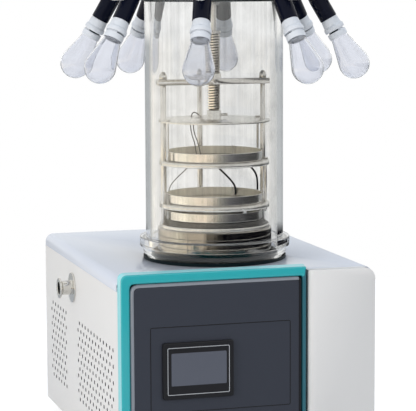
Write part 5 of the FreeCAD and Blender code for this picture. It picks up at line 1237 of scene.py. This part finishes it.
upper_leads = [lead(f"plate_lead_{n}", corners, 1.0, grey_jacket) for n, corners in enumerate(LEAD_UPPER, start=1)]
for thing in upper_leads:
    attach(thing, "press_carriage")
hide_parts("sensor_leads_upper")

lower_leads = [lead(f"black_lead_{n}", corners, 1.9, black_jacket) for n, corners in enumerate(LEAD_BLACK, start=1)]
lower_leads += [lead("grey_lead", LEAD_GREY[0], 1.0, pale_jacket)]
for thing in lower_leads:
    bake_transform(thing)
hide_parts("sensor_leads_lower")

# %% [markdown]
# ## Light, floor and camera
#
# A plain studio: a broad lamp from the front left, a cooler one above and a
# weaker one at the front right. The surround is white where it is seen
# straight or through glass. Reflections see a room in its place, so that the
# bare steel has something to mirror: a pale wall, and below it a warm left, a
# dark right and a low black card. The camera stands a little left of the front
# and looks slightly down.

# %% Surround and lamps
world = bpy.data.worlds.new("studio")
bpy.context.scene.world = world
world.use_nodes = True
sky = world.node_tree
sky.nodes.clear()


def build_room(split):
    """The mirrored room by azimuth and height: a ramp round the floor's edge, a pale wall above, a black card."""
    link = sky.links.new
    to_front = calculate(sky, "to the front", "MULTIPLY", split.outputs["Y"], -1.0)
    azimuth = calculate(sky, "azimuth", "ARCTAN2", split.outputs["X"], to_front)
    turn = ramped(sky, "share of a turn", azimuth, -math.pi, math.pi)
    ramp = node(sky, "ShaderNodeValToRGB", "round the room")
    stops = ramp.color_ramp
    grey = np.array([0.50, 0.52, 0.53])
    room_colors = [
        (0.070, grey), (0.092, [1.36, 1.24, 1.03]), (0.16, [1.46, 1.33, 1.15]), (0.235, [1.60, 1.50, 1.25]),
        (0.29, [1.34, 1.22, 0.99]), (0.36, [1.28, 1.10, 0.88]), (0.425, [1.30, 1.14, 0.92]),
        (0.455, [0.84, 0.76, 0.62]), (0.485, [0.52, 0.50, 0.44]), (0.52, [0.28, 0.28, 0.27]),
        (0.55, [0.14, 0.14, 0.16]), (0.585, [0.07, 0.07, 0.085]), (0.66, [0.04, 0.042, 0.046]),
        (0.75, [0.02, 0.02, 0.022]), (0.80, 0.2 * grey), (0.83, 1.2 * grey), (0.90, grey),
    ]
    stops.elements[0].position, stops.elements[0].color = 0.0, (*grey, 1)
    stops.elements[1].position, stops.elements[1].color = 1.0, (*grey, 1)
    for position, color in room_colors:
        stops.elements.new(position).color = (*color, 1)
    link(turn, ramp.inputs["Fac"])
    height = split.outputs["Z"]
    room = node(sky, "ShaderNodeMix", "room and wall", data_type="RGBA")
    link(ramped(sky, "floor to wall", height, -0.037, -0.029), room.inputs["Factor"])
    link(ramp.outputs["Color"], room.inputs["A"])
    room.inputs["B"].default_value = (1.02, 1.02, 1.00, 1)
    right_of = ramped(sky, "card's left end", turn, 0.398, 0.418)
    below = ramped(sky, "card's upper edge", height, -0.130, -0.136)
    above = ramped(sky, "card's lower edge", height, -0.190, -0.180)
    between = calculate(sky, "between its edges", "MULTIPLY", below, above)
    card = node(sky, "ShaderNodeMix", "low black card", data_type="RGBA")
    link(calculate(sky, "and right of its end", "MULTIPLY", between, right_of), card.inputs["Factor"])
    link(room.outputs["Result"], card.inputs["A"])
    card.inputs["B"].default_value = (0.004, 0.004, 0.007, 1)
    return card.outputs["Result"]


def mixed(label, factor, first, second):
    """One background or the other, by the factor."""
    made = node(sky, "ShaderNodeMixShader", label)
    for socket, value in zip(made.inputs, (factor, first, second)):
        sky.links.new(value, socket)
    return made.outputs[0]


def build_surround():
    """White seen straight or through glass, the room for reflections, and an even grey for what lights the piece."""
    link = sky.links.new
    path = node(sky, "ShaderNodeLightPath").outputs
    split = node(sky, "ShaderNodeSeparateXYZ")
    link(node(sky, "ShaderNodeTexCoord").outputs["Generated"], split.inputs[0])
    ambient = node(sky, "ShaderNodeBackground", "ambient", Color=(0.80, 0.84, 0.90, 1), Strength=0.55)
    mirrored = node(sky, "ShaderNodeBackground", "mirrored", Strength=1.0)
    link(build_room(split), mirrored.inputs["Color"])
    white = node(sky, "ShaderNodeBackground", "white", Color=(1, 1, 1, 1), Strength=1.0)
    # The surround counts as one bounce itself, so a ray seen straight has a count of 1.
    turned_back = calculate(
        sky, "bounces that weren't through glass", "SUBTRACT", path["Ray Depth"], path["Transmission Depth"],
    )
    seen = calculate(sky, "seen straight or through glass", "LESS_THAN", turned_back, 1.5)
    no_diffuse = calculate(sky, "no diffuse bounce", "LESS_THAN", path["Diffuse Depth"], 0.5)
    bounced = mixed("lit or mirrored", no_diffuse, ambient.outputs[0], mirrored.outputs[0])
    out = node(sky, "ShaderNodeOutputWorld")
    link(mixed("seen or bounced", seen, bounced, white.outputs[0]), out.inputs["Surface"])


build_surround()


def lamp(name, place, target, size, power, color):
    """A square area lamp in metres, facing its target."""
    data = bpy.data.lights.new(name, "AREA")
    data.size = size
    data.energy = power
    data.color = color
    thing = bpy.data.objects.new(name, data)
    bpy.context.scene.collection.objects.link(thing)
    thing.location = place
    thing.rotation_mode = "QUATERNION"
    thing.rotation_quaternion = (Vector(target) - Vector(place)).to_track_quat("-Z", "Y")
    thing.visible_camera = thing.visible_glossy = thing.visible_transmission = False
    return thing


LAMP_TARGET = (0, 0, 0.4)
lamp("left lamp", (-2.7, -1.5, 1.0), LAMP_TARGET, 1.8, 43.0, (1.0, 0.98, 0.96))
lamp("top lamp", (0.3, 0.2, 3.0), LAMP_TARGET, 2.0, 21.0, (0.68, 0.87, 1.12))
lamp("front lamp", (0.9, -3.2, 1.2), LAMP_TARGET, 1.6, 25.0, (1.0, 1.0, 1.0))

# %% The floor
floor_mesh = bpy.data.meshes.new("floor")
span = 1.7
floor_mesh.from_pydata([(-span, -span, 0), (span, -span, 0), (span, span, 0), (-span, span, 0)], [], [(0, 1, 2, 3)])
floor = bpy.data.objects.new("floor", floor_mesh)
bpy.context.scene.collection.objects.link(floor)
floor_material = bpy.data.materials.new("pale floor")
floor_material.use_nodes = True
floor_tree = floor_material.node_tree
floor_tree.nodes.clear()


def build_floor():
    """A matte floor with its own even glow: plain white in the light, a little darker in the shadow."""
    link = floor_tree.links.new
    matte = node(floor_tree, "ShaderNodeBsdfDiffuse")
    path = node(floor_tree, "ShaderNodeLightPath").outputs
    seen = calculate(
        floor_tree, "seen straight or through glass", "MAXIMUM", path["Is Camera Ray"], path["Is Transmission Ray"],
    )
    tone = node(floor_tree, "ShaderNodeMix", "pale for the light it throws back", data_type="RGBA")
    tone.inputs["A"].default_value = (0.75, 0.75, 0.75, 1)
    tone.inputs["B"].default_value = (0.34, 0.34, 0.345, 1)
    link(seen, tone.inputs["Factor"])
    link(tone.outputs["Result"], matte.inputs["Color"])
    glow = node(floor_tree, "ShaderNodeEmission", Color=(1, 1, 1, 1))
    link(calculate(floor_tree, "glow", "MULTIPLY", seen, 0.86), glow.inputs["Strength"])
    both = node(floor_tree, "ShaderNodeAddShader")
    link(matte.outputs[0], both.inputs[0])
    link(glow.outputs[0], both.inputs[1])
    out = node(floor_tree, "ShaderNodeOutputMaterial")
    link(both.outputs[0], out.inputs["Surface"])


build_floor()
floor_mesh.materials.append(floor_material)

# %% The camera
# The focal length, the width and height of the frame and the height of the lens
# axis below the frame's top share one unit, so only their ratios matter.
FOCAL, FRAME_WIDTH, FRAME_HEIGHT, LENS_AXIS = 1861.88, 416.0, 411.0, 194.0
SENSOR_WIDTH = 36.0
YAW, PITCH_DOWN, ROLL = math.radians(16.515), math.radians(6.638), math.radians(-0.267)
EYE = np.array([-1008.0, AXIS_Y - 3357.3, SEAL + 523.8]) * MM


def camera_axes():
    """Right, up and backward directions from yaw, pitch and roll."""
    ahead = np.array([
        math.sin(YAW) * math.cos(PITCH_DOWN), math.cos(YAW) * math.cos(PITCH_DOWN), -math.sin(PITCH_DOWN),
    ])
    right = np.array([math.cos(YAW), -math.sin(YAW), 0.0])
    up = np.cross(right, ahead)
    rolled_right = right * math.cos(ROLL) + up * math.sin(ROLL)
    rolled_up = -right * math.sin(ROLL) + up * math.cos(ROLL)
    return rolled_right, rolled_up, -ahead


camera_data = bpy.data.cameras.new("camera")
camera = bpy.data.objects.new("camera", camera_data)
bpy.context.scene.collection.objects.link(camera)
camera_data.sensor_width = SENSOR_WIDTH
camera_data.lens = FOCAL / FRAME_WIDTH * SENSOR_WIDTH
camera_data.shift_y = -(FRAME_HEIGHT / 2 - LENS_AXIS) / FRAME_WIDTH
camera_data.clip_end = 50.0
right, up, backward = camera_axes()
pose = np.eye(4)
pose[:3, 0], pose[:3, 1], pose[:3, 2], pose[:3, 3] = right, up, backward, EYE
camera.matrix_world = Matrix(pose.tolist())
bpy.context.scene.camera = camera
bpy.context.scene.view_settings.view_transform = "Standard"
